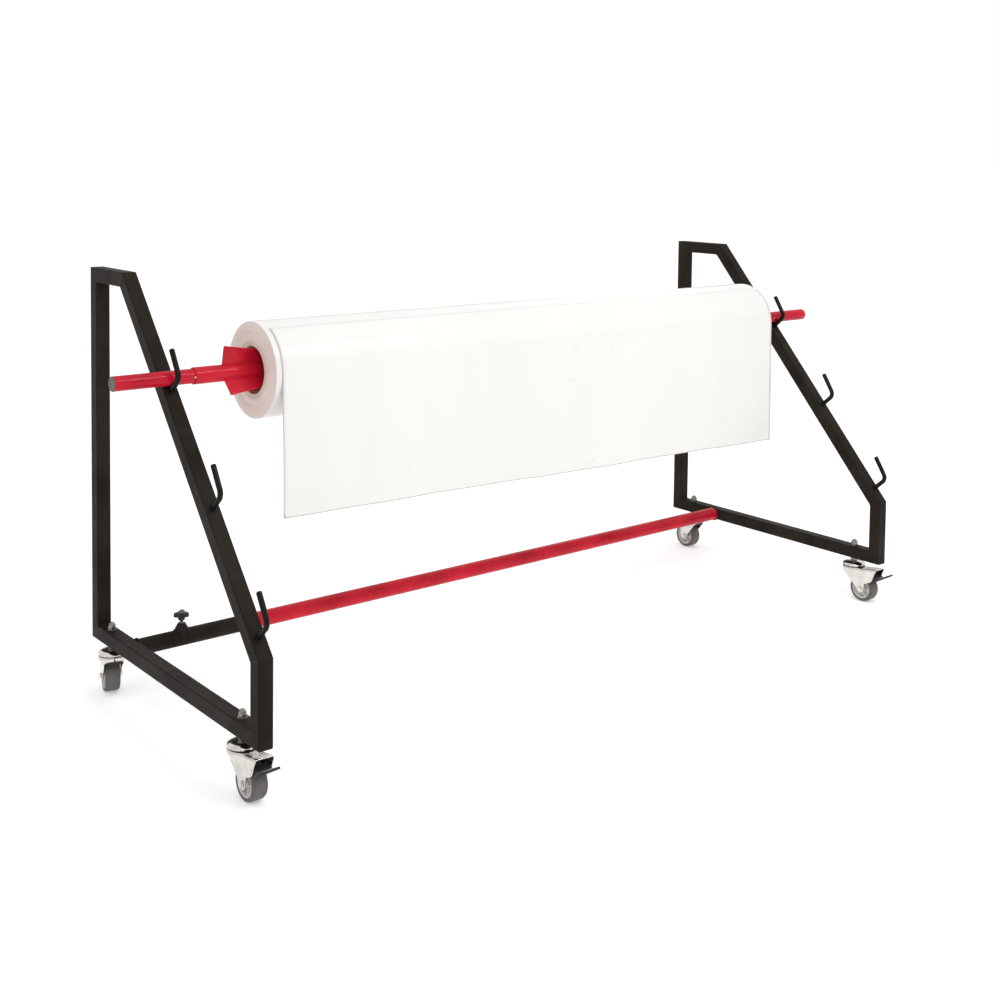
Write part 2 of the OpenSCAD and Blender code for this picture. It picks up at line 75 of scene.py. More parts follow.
def makeMesh(name, parts, material, smooth=True, sharpDegrees=40, recalc=True):
    # parts is a list of (points, faces); they become one mesh object at the origin
    points, faces, base = [], [], 0
    for p, f in parts:
        p = np.asarray(p, float).reshape(-1, 3)
        points.append(p)
        faces.extend((np.asarray(q) + base).tolist() for q in f)
        base += len(p)
    mesh = bpy.data.meshes.new(name)
    mesh.from_pydata(np.concatenate(points).tolist(), [], faces)
    mesh.validate()
    ob = bpy.data.objects.new(name, mesh)
    bpy.context.collection.objects.link(ob)
    import bmesh
    bm = bmesh.new()
    bm.from_mesh(mesh)
    bmesh.ops.remove_doubles(bm, verts=bm.verts, dist=1e-6)
    bmesh.ops.dissolve_degenerate(bm, edges=bm.edges, dist=1e-7)
    if recalc:
        bmesh.ops.recalc_face_normals(bm, faces=bm.faces)
    limit = math.radians(sharpDegrees)
    for e in bm.edges:
        e.smooth = not (len(e.link_faces) == 2 and e.calc_face_angle(0) > limit)
    bm.to_mesh(mesh)
    bm.free()
    mesh.polygons.foreach_set("use_smooth", np.full(len(mesh.polygons), smooth))
    mesh.materials.append(material)
    mesh.update()
    return ob


def revolve(profile, origin, axis, segments=96, closed=True, start=0.0, sweep=2 * math.pi):
    # profile is rows of (radius, height along the axis), turned about the axis; closed joins the profile's ends
    profile = np.asarray(profile, float)
    u, v, w = turnBasis(axis)
    full = abs(sweep - 2 * math.pi) < 1e-6
    angle = start + np.linspace(0, sweep, segments, endpoint=not full)
    ring = np.cos(angle)[:, None] * u + np.sin(angle)[:, None] * v
    points = np.asarray(origin, float) + profile[None, :, 0, None] * ring[:, None, :] + profile[None, :, 1, None] * w
    return points.reshape(-1, 3), gridFaces(segments, len(profile), closeRows=full, closeCols=closed)


def sweepTube(path, radius, sides=24, capEnds=True):
    # a round section carried along a path, kept square to it; the ends close with small domes
    path = np.asarray(path, float)
    tangent = np.gradient(path, axis=0)
    tangent /= np.linalg.norm(tangent, axis=1)[:, None]
    normals = np.zeros_like(path)
    normals[0] = turnBasis(tangent[0])[0]
    for i in range(1, len(path)):
        n = normals[i - 1] - tangent[i] * np.dot(normals[i - 1], tangent[i])
        normals[i] = n / np.linalg.norm(n)
    binormal = np.cross(tangent, normals)
    radius = np.broadcast_to(np.asarray(radius, float), (len(path),))
    if capEnds:
        dome = np.sin(np.linspace(0, math.pi / 2, 6))[:-1]
        rise = np.cos(np.linspace(0, math.pi / 2, 6))[:-1]
        r0, r1 = radius[0], radius[-1]
        head = path[0] - tangent[0] * (r0 * rise)[:, None] * 0.55
        tail = path[-1] + tangent[-1] * (r1 * rise[::-1])[:, None] * 0.55
        path = np.concatenate([head, path, tail])
        normals = np.concatenate([np.repeat(normals[:1], 5, 0), normals, np.repeat(normals[-1:], 5, 0)])
        binormal = np.concatenate([np.repeat(binormal[:1], 5, 0), binormal, np.repeat(binormal[-1:], 5, 0)])
        radius = np.concatenate([r0 * np.maximum(dome, 1e-4), radius, r1 * np.maximum(dome[::-1], 1e-4)])
    angle = np.linspace(0, 2 * math.pi, sides, endpoint=False)
    ring = np.cos(angle)[None, :, None] * normals[:, None, :] + np.sin(angle)[None, :, None] * binormal[:, None, :]
    points = path[:, None, :] + ring * radius[:, None, None]
    return points.reshape(-1, 3), gridFaces(len(path), sides, closeCols=True)


def roundedLoop(corners, radius, steps=6):
    # a closed outline whose corners become arcs; radius may differ by corner
    corners = np.asarray(corners, float)
    n = len(corners)
    radius = np.broadcast_to(np.asarray(radius, float), (n,))
    out = []
    for k in range(n):
        p, a, b = corners[k], corners[k - 1], corners[(k + 1) % n]
        da, db = (a - p) / np.linalg.norm(a - p), (b - p) / np.linalg.norm(b - p)
        half = math.acos(max(-1, min(1, float(np.dot(da, db))))) / 2
        if radius[k] <= 0 or half > 1.55:
            out.append(p[None])
            continue
        cut = radius[k] / math.tan(half)
        cut = min(cut, 0.49 * np.linalg.norm(a - p), 0.49 * np.linalg.norm(b - p))
        r = cut * math.tan(half)
        centre = p + (da + db) / np.linalg.norm(da + db) * (r / math.sin(half))
        s0, s1 = p + da * cut - centre, p + db * cut - centre
        t = np.linspace(0, 1, steps)[:, None]
        arc = s0 * (1 - t) + s1 * t
        arc = arc / np.linalg.norm(arc, axis=1)[:, None] * r
        out.append(centre + arc)
    return np.concatenate(out)


def plateParts(outline, thickness, place, bevel=0.0):
    # a flat plate with slightly rounded edges: the outline is drawn at each side, and pulled in by the bevel
    # at the two faces. place maps rows of (a, b, c) to points, with c across the thickness from 0 to thickness
    outline = np.asarray(outline, float)
    nxt, prv = np.roll(outline, -1, 0), np.roll(outline, 1, 0)
    d = nxt - prv
    d /= np.maximum(np.linalg.norm(d, axis=1), 1e-9)[:, None]
    inward = np.stack([-d[:, 1], d[:, 0]], axis=1)
    area = 0.5 * np.sum(outline[:, 0] * nxt[:, 1] - nxt[:, 0] * outline[:, 1])
    if area < 0:
        inward = -inward
    rings = []
    for pull, c in ((bevel, 0), (bevel * 0.3, bevel * 0.3), (0, bevel), (0, thickness - bevel),
                    (bevel * 0.3, thickness - bevel * 0.3), (bevel, thickness)):
        flat = outline + inward * pull
        rings.append(np.column_stack([flat, np.full(len(flat), c)]))
    grid = np.concatenate(rings)
    n = len(outline)
    faces = gridFaces(len(rings), n, closeCols=True).tolist()
    faces.append(list(range(n))[::-1])
    faces.append(list(range((len(rings) - 1) * n, len(rings) * n)))
    return place(grid), faces


# material helpers

def newMaterial(name, colour, roughness, metallic=0.0, **sockets):
    material = bpy.data.materials.new(name)
    material.use_nodes = True
    tree = material.node_tree
    shader = tree.nodes["Principled BSDF"]
    shader.inputs["Base Color"].default_value = (*colour, 1)
    shader.inputs["Roughness"].default_value = roughness
    shader.inputs["Metallic"].default_value = metallic
    for key, value in sockets.items():
        shader.inputs[key.replace("_", " ")].default_value = value
    place = tree.nodes.new("ShaderNodeTexCoord")
    return material, tree, shader, place


def noiseNode(tree, vector, scale, detail=3, rough=0.5, stretch=None):
    if stretch:
        mapping = tree.nodes.new("ShaderNodeMapping")
        mapping.inputs["Scale"].default_value = stretch
        tree.links.new(vector, mapping.inputs["Vector"])
        vector = mapping.outputs["Vector"]
    noise = tree.nodes.new("ShaderNodeTexNoise")
    noise.inputs["Scale"].default_value = scale
    noise.inputs["Detail"].default_value = detail
    noise.inputs["Roughness"].default_value = rough
    tree.links.new(vector, noise.inputs["Vector"])
    return noise.outputs["Fac"]


def rampNode(tree, value, stops, kind="EASE"):
    ramp = tree.nodes.new("ShaderNodeValToRGB")
    ramp.color_ramp.interpolation = kind
    while len(ramp.color_ramp.elements) < len(stops):
        ramp.color_ramp.elements.new(0.5)
    for element, (at, colour) in zip(ramp.color_ramp.elements, stops):
        element.position = at
        element.color = (*colour, 1)
    tree.links.new(value, ramp.inputs["Fac"])
    return ramp.outputs["Color"]


def rangeNode(tree, value, low, high, fromLow=0.0, fromHigh=1.0):
    node = tree.nodes.new("ShaderNodeMapRange")
    for key, number in (("From Min", fromLow), ("From Max", fromHigh), ("To Min", low), ("To Max", high)):
        node.inputs[key].default_value = number
    tree.links.new(value, node.inputs["Value"])
    return node.outputs["Result"]


def mathNode(tree, operation, a, b=None):
    node = tree.nodes.new("ShaderNodeMath")
    node.operation = operation
    for socket, value in zip(node.inputs, (a, b)):
        if value is None:
            continue
        if isinstance(value, (int, float)):
            socket.default_value = value
        else:
            tree.links.new(value, socket)
    return node.outputs["Value"]


def mixColour(tree, factor, a, b, blend="MIX"):
    node = tree.nodes.new("ShaderNodeMix")
    node.data_type = "RGBA"
    node.blend_type = blend
    for name, value in (("Factor_Float", factor), ("A_Color", a), ("B_Color", b)):
        socket = next(s for s in node.inputs if s.identifier == name)
        if isinstance(value, (int, float)):
            socket.default_value = value
        elif isinstance(value, tuple):
            socket.default_value = (*value, 1)
        else:
            tree.links.new(value, socket)
    return next(s for s in node.outputs if s.identifier == "Result_Color")


def bumpNode(tree, shader, height, strength, distance, under=None):
    bump = tree.nodes.new("ShaderNodeBump")
    bump.inputs["Strength"].default_value = strength
    bump.inputs["Distance"].default_value = distance
    tree.links.new(height, bump.inputs["Height"])
    if under:
        tree.links.new(under, bump.inputs["Normal"])
    tree.links.new(bump.outputs["Normal"], shader.inputs["Normal"])
    return bump.outputs["Normal"]


def edgeMask(tree, width=0.0015, sharpness=(0.02, 0.12)):
    # bright where the surface turns quickly: the rounded normal leans away from the true one
    bevel = tree.nodes.new("ShaderNodeBevel")
    bevel.samples = 4
    bevel.inputs["Radius"].default_value = width
    geometry = tree.nodes.new("ShaderNodeNewGeometry")
    dot = tree.nodes.new("ShaderNodeVectorMath")
    dot.operation = "DOT_PRODUCT"
    tree.links.new(bevel.outputs["Normal"], dot.inputs[0])
    tree.links.new(geometry.outputs["Normal"], dot.inputs[1])
    lean = mathNode(tree, "SUBTRACT", 1.0, dot.outputs["Value"])
    return rangeNode(tree, lean, 0, 1, *sharpness)


def paintedSteel(name, colour, roughness, coat, peel, dust, dustColour, wear=0.5, gloss=0.5):
    # powder coat: orange peel in the surface, faint cloudy colour, dust specks and thin paint along the edges
    material, tree, shader, place = newMaterial(name, colour, roughness, Coat_Weight=coat, Coat_Roughness=0.12, Specular_IOR_Level=gloss)
    spot = place.outputs["Object"]
    cloud = noiseNode(tree, spot, 7, 4, 0.6)
    light = tuple(min(1, c * 1.22 + 0.004) for c in colour)
    dark = tuple(c * 0.82 for c in colour)
    base = rampNode(tree, cloud, [(0.3, dark), (0.7, light)])
    specks = rangeNode(tree, noiseNode(tree, spot, 950, 2, 0.7), 0, dust, 0.62, 0.78)
    base = mixColour(tree, specks, base, dustColour)
    edges = mathNode(tree, "MULTIPLY", edgeMask(tree), wear)
    edges = mathNode(tree, "MULTIPLY", edges, rangeNode(tree, noiseNode(tree, spot, 60, 3), 0, 1, 0.45, 0.7))
    base = mixColour(tree, edges, base, tuple(min(1, c * 1.8 + 0.025) for c in colour))
    tree.links.new(base, shader.inputs["Base Color"])
    smear = noiseNode(tree, spot, 22, 4, 0.65)
    rough = mathNode(tree, "ADD", rangeNode(tree, smear, roughness - 0.07, roughness + 0.09, 0.25, 0.75),
                     mathNode(tree, "MULTIPLY", specks, 0.2))
    tree.links.new(rough, shader.inputs["Roughness"])
    bumpNode(tree, shader, noiseNode(tree, spot, 520, 2, 0.5), peel, 0.0004)
    return material


def platedSteel(name, colour, roughness, streak, stretch=(1, 1, 40), grime=0.25, grimeColour=(0.2, 0.17, 0.14)):
    # bright plate: hairline streaks along the piece, cloudy patches, grime in scattered patches
    material, tree, shader, place = newMaterial(name, colour, roughness, metallic=1.0)
    spot = place.outputs["Object"]
    lines = noiseNode(tree, spot, 60, 4, 0.6, stretch=stretch)
    cloud = noiseNode(tree, spot, 35, 4, 0.6)
    base = rampNode(tree, cloud, [(0.3, tuple(c * 0.88 for c in colour)), (0.75, tuple(min(1, c * 1.05) for c in colour))])
    dirt = rangeNode(tree, noiseNode(tree, spot, 140, 5, 0.7), 0, grime, 0.55, 0.8)
    base = mixColour(tree, dirt, base, grimeColour)
    tree.links.new(base, shader.inputs["Base Color"])
    rough = mathNode(tree, "ADD", rangeNode(tree, lines, roughness * 0.7, roughness * 1.5, 0.3, 0.7),
                     mathNode(tree, "MULTIPLY", dirt, 0.5))
    tree.links.new(rough, shader.inputs["Roughness"])
    bumpNode(tree, shader, lines, streak, 0.0002)
    return material


def moulded(name, colour, roughness, grain, grainSize=900, mottling=0.12):
    # moulded plastic: fine spark texture, slight flow marks, lighter worn edges
    material, tree, shader, place = newMaterial(name, colour, roughness, Specular_IOR_Level=0.45)
    spot = place.outputs["Object"]
    flow = noiseNode(tree, spot, 30, 3, 0.5, stretch=(1, 1, 0.35))
    base = rampNode(tree, flow, [(0.3, tuple(c * (1 - mottling) for c in colour)), (0.7, tuple(min(1, c * (1 + mottling)) for c in colour))])
    worn = mathNode(tree, "MULTIPLY", edgeMask(tree, 0.001), 0.35)
    base = mixColour(tree, worn, base, tuple(min(1, c * 1.6 + 0.04) for c in colour))
    tree.links.new(base, shader.inputs["Base Color"])
    tree.links.new(rangeNode(tree, flow, roughness - 0.06, roughness + 0.08, 0.3, 0.7), shader.inputs["Roughness"])
    bumpNode(tree, shader, noiseNode(tree, spot, grainSize, 3, 0.6), grain, 0.0003)
    return material


frameBlack = paintedSteel("frameBlack", (0.0150, 0.0112, 0.0080), 0.52, 0.0, 0.22, 0.08, (0.08, 0.07, 0.06), 0.22, gloss=0.07)
hookBlack = paintedSteel("hookBlack", (0.004, 0.0037, 0.0034), 0.34, 0.05, 0.10, 0.05, (0.05, 0.045, 0.04), 0.15, gloss=0.10)
glossRed = paintedSteel("glossRed", (0.50, 0.006, 0.022), 0.34, 0.32, 0.06, 0.04, (0.60, 0.14, 0.14), 0.15, gloss=0.02)
weldBlack = paintedSteel("weldBlack", (0.013, 0.010, 0.008), 0.45, 0.02, 0.30, 0.08, (0.08, 0.07, 0.06), 0.25, gloss=0.12)
zincPlate = platedSteel("zincPlate", (0.27, 0.26, 0.235), 0.30, 0.25)
brightSteel = platedSteel("brightSteel", (0.74, 0.73, 0.72), 0.16, 0.12, grime=0.12)
pinSteel = platedSteel("pinSteel", (0.72, 0.60, 0.42), 0.22, 0.2, stretch=(1, 30, 1), grime=0.15)
castorChrome = platedSteel("castorChrome", (0.72, 0.69, 0.65), 0.12, 0.05, stretch=(1, 1, 6), grime=0.08)
darkSteel = platedSteel("darkSteel", (0.05, 0.045, 0.04), 0.42, 0.3, grime=0.3)
knobBlack = moulded("knobBlack", (0.012, 0.012, 0.012), 0.38, 0.15)
capBrown = moulded("capBrown", (0.10, 0.075, 0.06), 0.45, 0.15)
wheelGrey = moulded("wheelGrey", (0.60, 0.585, 0.57), 0.35, 0.08)
pedalBlack = moulded("pedalBlack", (0.014, 0.013, 0.012), 0.45, 0.3, 500)


def makeTyreRubber():
    # grey rubber: fine skin, a scuffed lighter running band round the tread, dust caught in it
    material, tree, shader, place = newMaterial("tyreRubber", (0.14, 0.13, 0.125), 0.62)
    spot = place.outputs["Object"]
    uv = place.outputs["UV"]
    split = tree.nodes.new("ShaderNodeSeparateXYZ")
    tree.links.new(uv, split.inputs[0])
    across = mathNode(tree, "ABSOLUTE", mathNode(tree, "SUBTRACT", split.outputs["Y"], 0.5))
    band = rangeNode(tree, across, 1, 0, 0.10, 0.19)
    scuff = rangeNode(tree, noiseNode(tree, spot, 130, 5, 0.7), 0, 1, 0.35, 0.7)
    skin = rampNode(tree, noiseNode(tree, spot, 40, 3), [(0.3, (0.076, 0.070, 0.067)), (0.7, (0.106, 0.099, 0.095))])
    base = mixColour(tree, mathNode(tree, "MULTIPLY", mathNode(tree, "MULTIPLY", band, scuff), 0.45), skin, (0.18, 0.167, 0.157))
    dust = rangeNode(tree, noiseNode(tree, spot, 700, 2, 0.6), 0, 0.35, 0.6, 0.75)
    base = mixColour(tree, dust, base, (0.22, 0.20, 0.18))
    tree.links.new(base, shader.inputs["Base Color"])
    tree.links.new(rangeNode(tree, scuff, 0.52, 0.74), shader.inputs["Roughness"])
    bumpNode(tree, shader, noiseNode(tree, spot, 800, 4, 0.7), 0.35, 0.0004)
    return material


def makeCoreBoard():
    # wound paper board: a slanting butt seam round the tube, fibres, and plies that show at the cut end
    material, tree, shader, place = newMaterial("coreBoard", (0.66, 0.58, 0.49), 0.8, Sheen_Weight=0.15)
    spot = place.outputs["Object"]
    uv = place.outputs["UV"]
    fibre = noiseNode(tree, spot, 420, 5, 0.75, stretch=(0.4, 1, 1))
    base = rampNode(tree, fibre, [(0.25, (0.56, 0.47, 0.38)), (0.55, (0.68, 0.60, 0.51)), (0.8, (0.76, 0.69, 0.61))])
    split = tree.nodes.new("ShaderNodeSeparateXYZ")
    tree.links.new(uv, split.inputs[0])
    slant = mathNode(tree, "ADD", split.outputs["X"], mathNode(tree, "MULTIPLY", split.outputs["Y"], 14.0))
    wrap = mathNode(tree, "FRACT", slant)
    seam = rangeNode(tree, mathNode(tree, "ABSOLUTE", mathNode(tree, "SUBTRACT", wrap, 0.5)), 1, 0, 0.0, 0.012)
    base = mixColour(tree, mathNode(tree, "MULTIPLY", seam, 0.55), base, (0.33, 0.25, 0.18))
    ply = rangeNode(tree, noiseNode(tree, split.outputs["Z"], 30, 1), 0, 0.25, 0.45, 0.6)
    base = mixColour(tree, ply, base, (0.5, 0.4, 0.31))
    tree.links.new(base, shader.inputs["Base Color"])
    tree.links.new(rangeNode(tree, fibre, 0.72, 0.9), shader.inputs["Roughness"])
    height = mathNode(tree, "SUBTRACT", fibre, mathNode(tree, "MULTIPLY", seam, 1.2))
    bumpNode(tree, shader, height, 0.4, 0.0005)
    return material


filmLook = dict(
    roll=(0.80, 0.79, 0.765),       # the wound film seen from outside
    rollShade=(0.775, 0.762, 0.735),
    endLight=(0.80, 0.70, 0.645),   # the cut edges of the turns, a warmer tone
    endDark=(0.66, 0.53, 0.475),
    sheet=(0.81, 0.80, 0.775),
    sheetShade=(0.79, 0.778, 0.752),
    # painted shade: the darker tone of the sheet's edge line, which stands for the film's cut edge seen side-on
    sheetEdgePaintedShade=(0.50, 0.47, 0.44),
)


def makeFilmRoll():
    # tight turns of clear film: milky body, soft gloss, long gauge bands and faint creases along the width
    material, tree, shader, place = newMaterial("filmRoll", filmLook["roll"], 0.3, Coat_Weight=0.35, Coat_Roughness=0.16,
                                                Subsurface_Weight=0.25, Subsurface_Scale=0.02)
    shader.inputs["Subsurface Radius"].default_value = (1.0, 0.8, 0.65)
    spot = place.outputs["Object"]
    bands = noiseNode(tree, spot, 1.0, 2, 0.5, stretch=(6, 0.3, 0.3))
    streaks = noiseNode(tree, spot, 6, 3, 0.5, stretch=(0.15, 2.5, 2.5))
    base = rampNode(tree, bands, [(0.3, filmLook["rollShade"]), (0.7, filmLook["roll"])])
    base = mixColour(tree, rangeNode(tree, streaks, 0, 0.3, 0.45, 0.8), base, (0.82, 0.81, 0.785))
    tree.links.new(base, shader.inputs["Base Color"])
    tree.links.new(rangeNode(tree, streaks, 0.26, 0.38, 0.3, 0.7), shader.inputs["Roughness"])
    height = mathNode(tree, "ADD", mathNode(tree, "MULTIPLY", bands, 0.8), mathNode(tree, "MULTIPLY", streaks, 0.2))
    bumpNode(tree, shader, height, 0.05, 0.0008)
    return material


def makeFilmEnd():
    # cut edges of the turns: fine rings, a few proud turns, slightly pink where light goes deep
    material, tree, shader, place = newMaterial("filmEnd", filmLook["endLight"], 0.42, Subsurface_Weight=0.3, Subsurface_Scale=0.02)
    shader.inputs["Subsurface Radius"].default_value = (1.0, 0.7, 0.55)
    spot = place.outputs["Object"]
    uv = place.outputs["UV"]
    split = tree.nodes.new("ShaderNodeSeparateXYZ")
    tree.links.new(uv, split.inputs[0])
    join = tree.nodes.new("ShaderNodeCombineXYZ")
    tree.links.new(split.outputs["Y"], join.inputs["X"])
    tree.links.new(mathNode(tree, "MULTIPLY", split.outputs["X"], 0.02), join.inputs["Y"])
    rings = noiseNode(tree, join.outputs["Vector"], 90, 4, 0.7)
    broad = noiseNode(tree, join.outputs["Vector"], 9, 2, 0.5)
    base = rampNode(tree, rings, [(0.25, filmLook["endDark"]), (0.6, filmLook["endLight"]), (0.85, (0.86, 0.79, 0.75))])
    base = mixColour(tree, rangeNode(tree, broad, 0, 0.4, 0.4, 0.65), base, (0.84, 0.76, 0.71))
    tree.links.new(base, shader.inputs["Base Color"])
    tree.links.new(rangeNode(tree, rings, 0.34, 0.55), shader.inputs["Roughness"])
    bumpNode(tree, shader, rings, 0.5, 0.0006)
    return material


def makeFilmSheet():
    # film hanging free: soft sheen, faint gauge bands down its length, and painted shade in a darker line at its
    # edges, standing for the film's edge seen side-on, where U is the distance from the nearest edge
    material, tree, shader, place = newMaterial("filmSheet", filmLook["sheet"], 0.30, IOR=1.4,
                                                Coat_Weight=0.25, Coat_Roughness=0.16)
    spot = place.outputs["Object"]
    bands = noiseNode(tree, spot, 1.0, 2, 0.5, stretch=(5, 0.3, 0.5))
    fine = noiseNode(tree, spot, 5, 3, 0.5, stretch=(1.0, 0.6, 1.6))
    base = rampNode(tree, bands, [(0.3, filmLook["sheetShade"]), (0.7, filmLook["sheet"])])
    split = tree.nodes.new("ShaderNodeSeparateXYZ")
    tree.links.new(place.outputs["UV"], split.inputs[0])
    # painted shade: within a few millimetres of each edge the sheet's colour is pulled towards a darker tone, standing
    # for the film's edge seen side-on
    rim = rangeNode(tree, split.outputs["X"], 0.75, 0, 0.0018, 0.0034)
    base = mixColour(tree, rim, base, filmLook["sheetEdgePaintedShade"])
    tree.links.new(base, shader.inputs["Base Color"])
    tree.links.new(rangeNode(tree, fine, 0.26, 0.36, 0.3, 0.7), shader.inputs["Roughness"])
    height = mathNode(tree, "ADD", mathNode(tree, "MULTIPLY", bands, 0.8), mathNode(tree, "MULTIPLY", fine, 0.2))
    bumpNode(tree, shader, height, 0.04, 0.0008)
    return material


tyreRubber = makeTyreRubber()
coreBoard = makeCoreBoard()
filmRollMaterial = makeFilmRoll()
filmEndMaterial = makeFilmEnd()
filmSheetMaterial = makeFilmSheet()
print("materials made")


# CAD nodes that keep their shape

keptLooks = {
    "frameBlack": ("upright", "top_rail", "incline", "front_post", "bottom_rail"),
}
for side in ("left", "right"):
    for part in keptLooks["frameBlack"]:
        nodes[side + "_" + part].data.materials.clear()
        nodes[side + "_" + part].data.materials.append(frameBlack)
for name, material in (("crossbar_socket", frameBlack), ("crossbar_tube", glossRed), ("crossbar_spigot", zincPlate),
                       ("roll_bar", glossRed)):
    nodes[name].data.materials.clear()
    nodes[name].data.materials.append(material)
print("kept nodes painted")


def hexParts(centre, axis, across, height, chamfer=0.15, turn=0.0, steps=6):
    # a six-sided prism whose corners are cut by a cone at both ends: the radius at each angle is the smaller of
    # the hexagon's edge and the cone's circle
    u, v, w = turnBasis(axis)
    angle = np.linspace(0, 2 * math.pi, steps * 6, endpoint=False)
    local = (angle + math.pi / 6) % (math.pi / 3) - math.pi / 6
    edge = across / 2 / np.cos(local)
    inner = across / 2 * 0.97
    rows = []
    for h, limit in ((0, inner), (chamfer * height, across), (height - chamfer * height, across), (height, inner)):
        rows.append(np.column_stack([np.minimum(edge, limit), np.full(len(angle), h)]))
    grid = np.stack(rows)
    ring = np.cos(angle + turn)[:, None] * u + np.sin(angle + turn)[:, None] * v
    points = np.asarray(centre, float) + grid[:, :, 0, None] * ring[None] + grid[:, :, 1, None] * w
    faces = gridFaces(4, len(angle), closeCols=True).tolist()
    faces.append(list(range(len(angle)))[::-1])
    faces.append(list(range(3 * len(angle), 4 * len(angle))))
    return points.reshape(-1, 3), faces


def roundProfile(points, radius, steps=5):
    # a closed profile of (radius, height) rows whose corners are eased
    return roundedLoop(points, radius, steps)


castorSize = dict(
    wheelRadius=0.044, treadHalf=0.0205, rimRadius=0.0335, hubHalf=0.0215,
    legOuter=0.0257, crownTop=0.112, crownHalf=0.038, axleZ=0.044, bossRadius=0.0135,
    sheet=0.0026, raceTop=0.127, hoodEnd=0.104, hoodRise=0.008,
)


def smoothStep(x):
    x = np.clip(x, 0, 1)
    return x * x * (3 - 2 * x)


def castorShell(trail, braked):
    # the pressed fork: an inverted U section carried from back to front. The lower edge of its legs follows the
    # back slope, the round boss at the axle and the front slope; the section widens to the round crown at the top
    c = castorSize
    back = -c["crownHalf"]
    end = c["hoodEnd"] if braked else 0.043
    bossBack, bossFront = trail - c["bossRadius"], trail + c["bossRadius"]
    y = np.concatenate([
        back + (1 - np.cos(np.linspace(0, math.pi / 2, 14))) * 0.012,
        np.linspace(back + 0.0125, bossBack, 14)[1:],
        trail - c["bossRadius"] * np.cos(np.linspace(0, math.pi, 25))[1:],
        np.linspace(bossFront, end, 26)[1:],
    ]) if end > bossFront else np.concatenate([
        back + (1 - np.cos(np.linspace(0, math.pi / 2, 14))) * 0.012,
        np.linspace(back + 0.0125, bossBack, 14)[1:],
        trail - c["bossRadius"] * np.cos(np.linspace(0, math.pi, 25))[1:],
    ])
    if braked:
        knots = [(back, 0.1025), (-0.033, 0.1005), (-0.020, 0.089), (bossBack, 0.0435)]
        front = [(bossFront, 0.0485), (bossFront + 0.003, 0.0640), (0.078, 0.0715), (0.088, 0.077), (0.094, 0.089), (0.099, 0.104), (end, 0.113)]
    else:
        knots = [(back, 0.1025), (-0.033, 0.1005), (-0.022, 0.089), (bossBack, 0.0435)]
        front = [(bossFront, 0.0485), (end, 0.0485)]
    low = np.interp(y, *zip(*(knots + front)))
    inBoss = (y >= bossBack) & (y <= bossFront)
    arc = c["axleZ"] - np.sqrt(np.maximum(c["bossRadius"] ** 2 - (y - trail) ** 2, 0))
    low = np.where(inBoss, np.minimum(arc, low), low)
    rise = c["hoodRise"] * smoothStep((y - 0.040) / 0.064) if braked else 0 * y
    top = c["crownTop"] + rise
    plan = np.sqrt(np.maximum(c["crownHalf"] ** 2 - np.minimum(y, 0) ** 2, 1e-8))
    plan = np.where(y > 0.004, c["crownHalf"] - (c["crownHalf"] - c["legOuter"]) * smoothStep((y - 0.004) / 0.044), plan)
    plan = np.maximum(plan, 0.0045)
    legHalf = np.minimum(c["legOuter"], plan)
    bend = np.minimum(0.0065, plan * 0.6)
    legRows, arcRows, flatRows = 26, 9, 9
    t = np.linspace(0, 1, legRows)[None, :]
    z = low[:, None] + (top - bend - low)[:, None] * t
    widen = smoothStep((z - 0.080) / 0.026)
    x = -(legHalf[:, None] + (plan - legHalf)[:, None] * widen)
    a = np.linspace(0, math.pi / 2, arcRows + 1)[None, 1:]
    xa = -(plan[:, None] - bend[:, None] * (1 - np.cos(a)))
    za = (top - bend)[:, None] + bend[:, None] * np.sin(a)
    f = np.linspace(0, 1, flatRows + 1)[None, 1:]
    xf = -(plan - bend)[:, None] * (1 - f)
    zf = np.repeat(top[:, None], flatRows, 1)
    halfX = np.concatenate([x, xa, xf], axis=1)
    halfZ = np.concatenate([z, za, zf], axis=1)
    fullX = np.concatenate([halfX, -halfX[:, -2::-1]], axis=1)
    fullZ = np.concatenate([halfZ, halfZ[:, -2::-1]], axis=1)
    points = np.stack([fullX, np.repeat(y[:, None], fullX.shape[1], 1), fullZ], axis=-1)
    return points, gridFaces(points.shape[0], points.shape[1])


def placeCastor(name):
    swivel = jointByName[name + "_swivel_turn"]
    spin = jointByName[name + "_wheel_spin"]
    stem = np.array([swivel["pos_m"][0], swivel["pos_m"][1], 0.0])
    axle = np.array(spin["pos_m"])
    forward = axle - stem
    forward[2] = 0
    trail = float(np.linalg.norm(forward))
    forward /= trail
    up = np.array([0, 0, 1.0])
    sideways = np.cross(forward, up)

    def place(local):
        local = np.asarray(local, float).reshape(-1, 3)
        return stem + local[:, :1] * sideways + local[:, 1:2] * forward + local[:, 2:3] * up
    return place, stem, axle, sideways, forward, trail


def uvAlong(ob, function):
    # writes a UV map from a function of the mesh's points
    mesh = ob.data
    co = np.empty(len(mesh.vertices) * 3)
    mesh.vertices.foreach_get("co", co)
    index = np.empty(len(mesh.loops), dtype=np.int64)
    mesh.loops.foreach_get("vertex_index", index)
    uv = function(co.reshape(-1, 3))[index]
    layer = mesh.uv_layers.new(name="along")
    layer.data.foreach_set("uv", uv.astype(np.float32).ravel())


def addSolidify(ob, thickness, offset=-1.0):
    mod = ob.modifiers.new("wall", "SOLIDIFY")
    mod.thickness = thickness
    mod.offset = offset
    mod.use_even_offset = False
    return mod


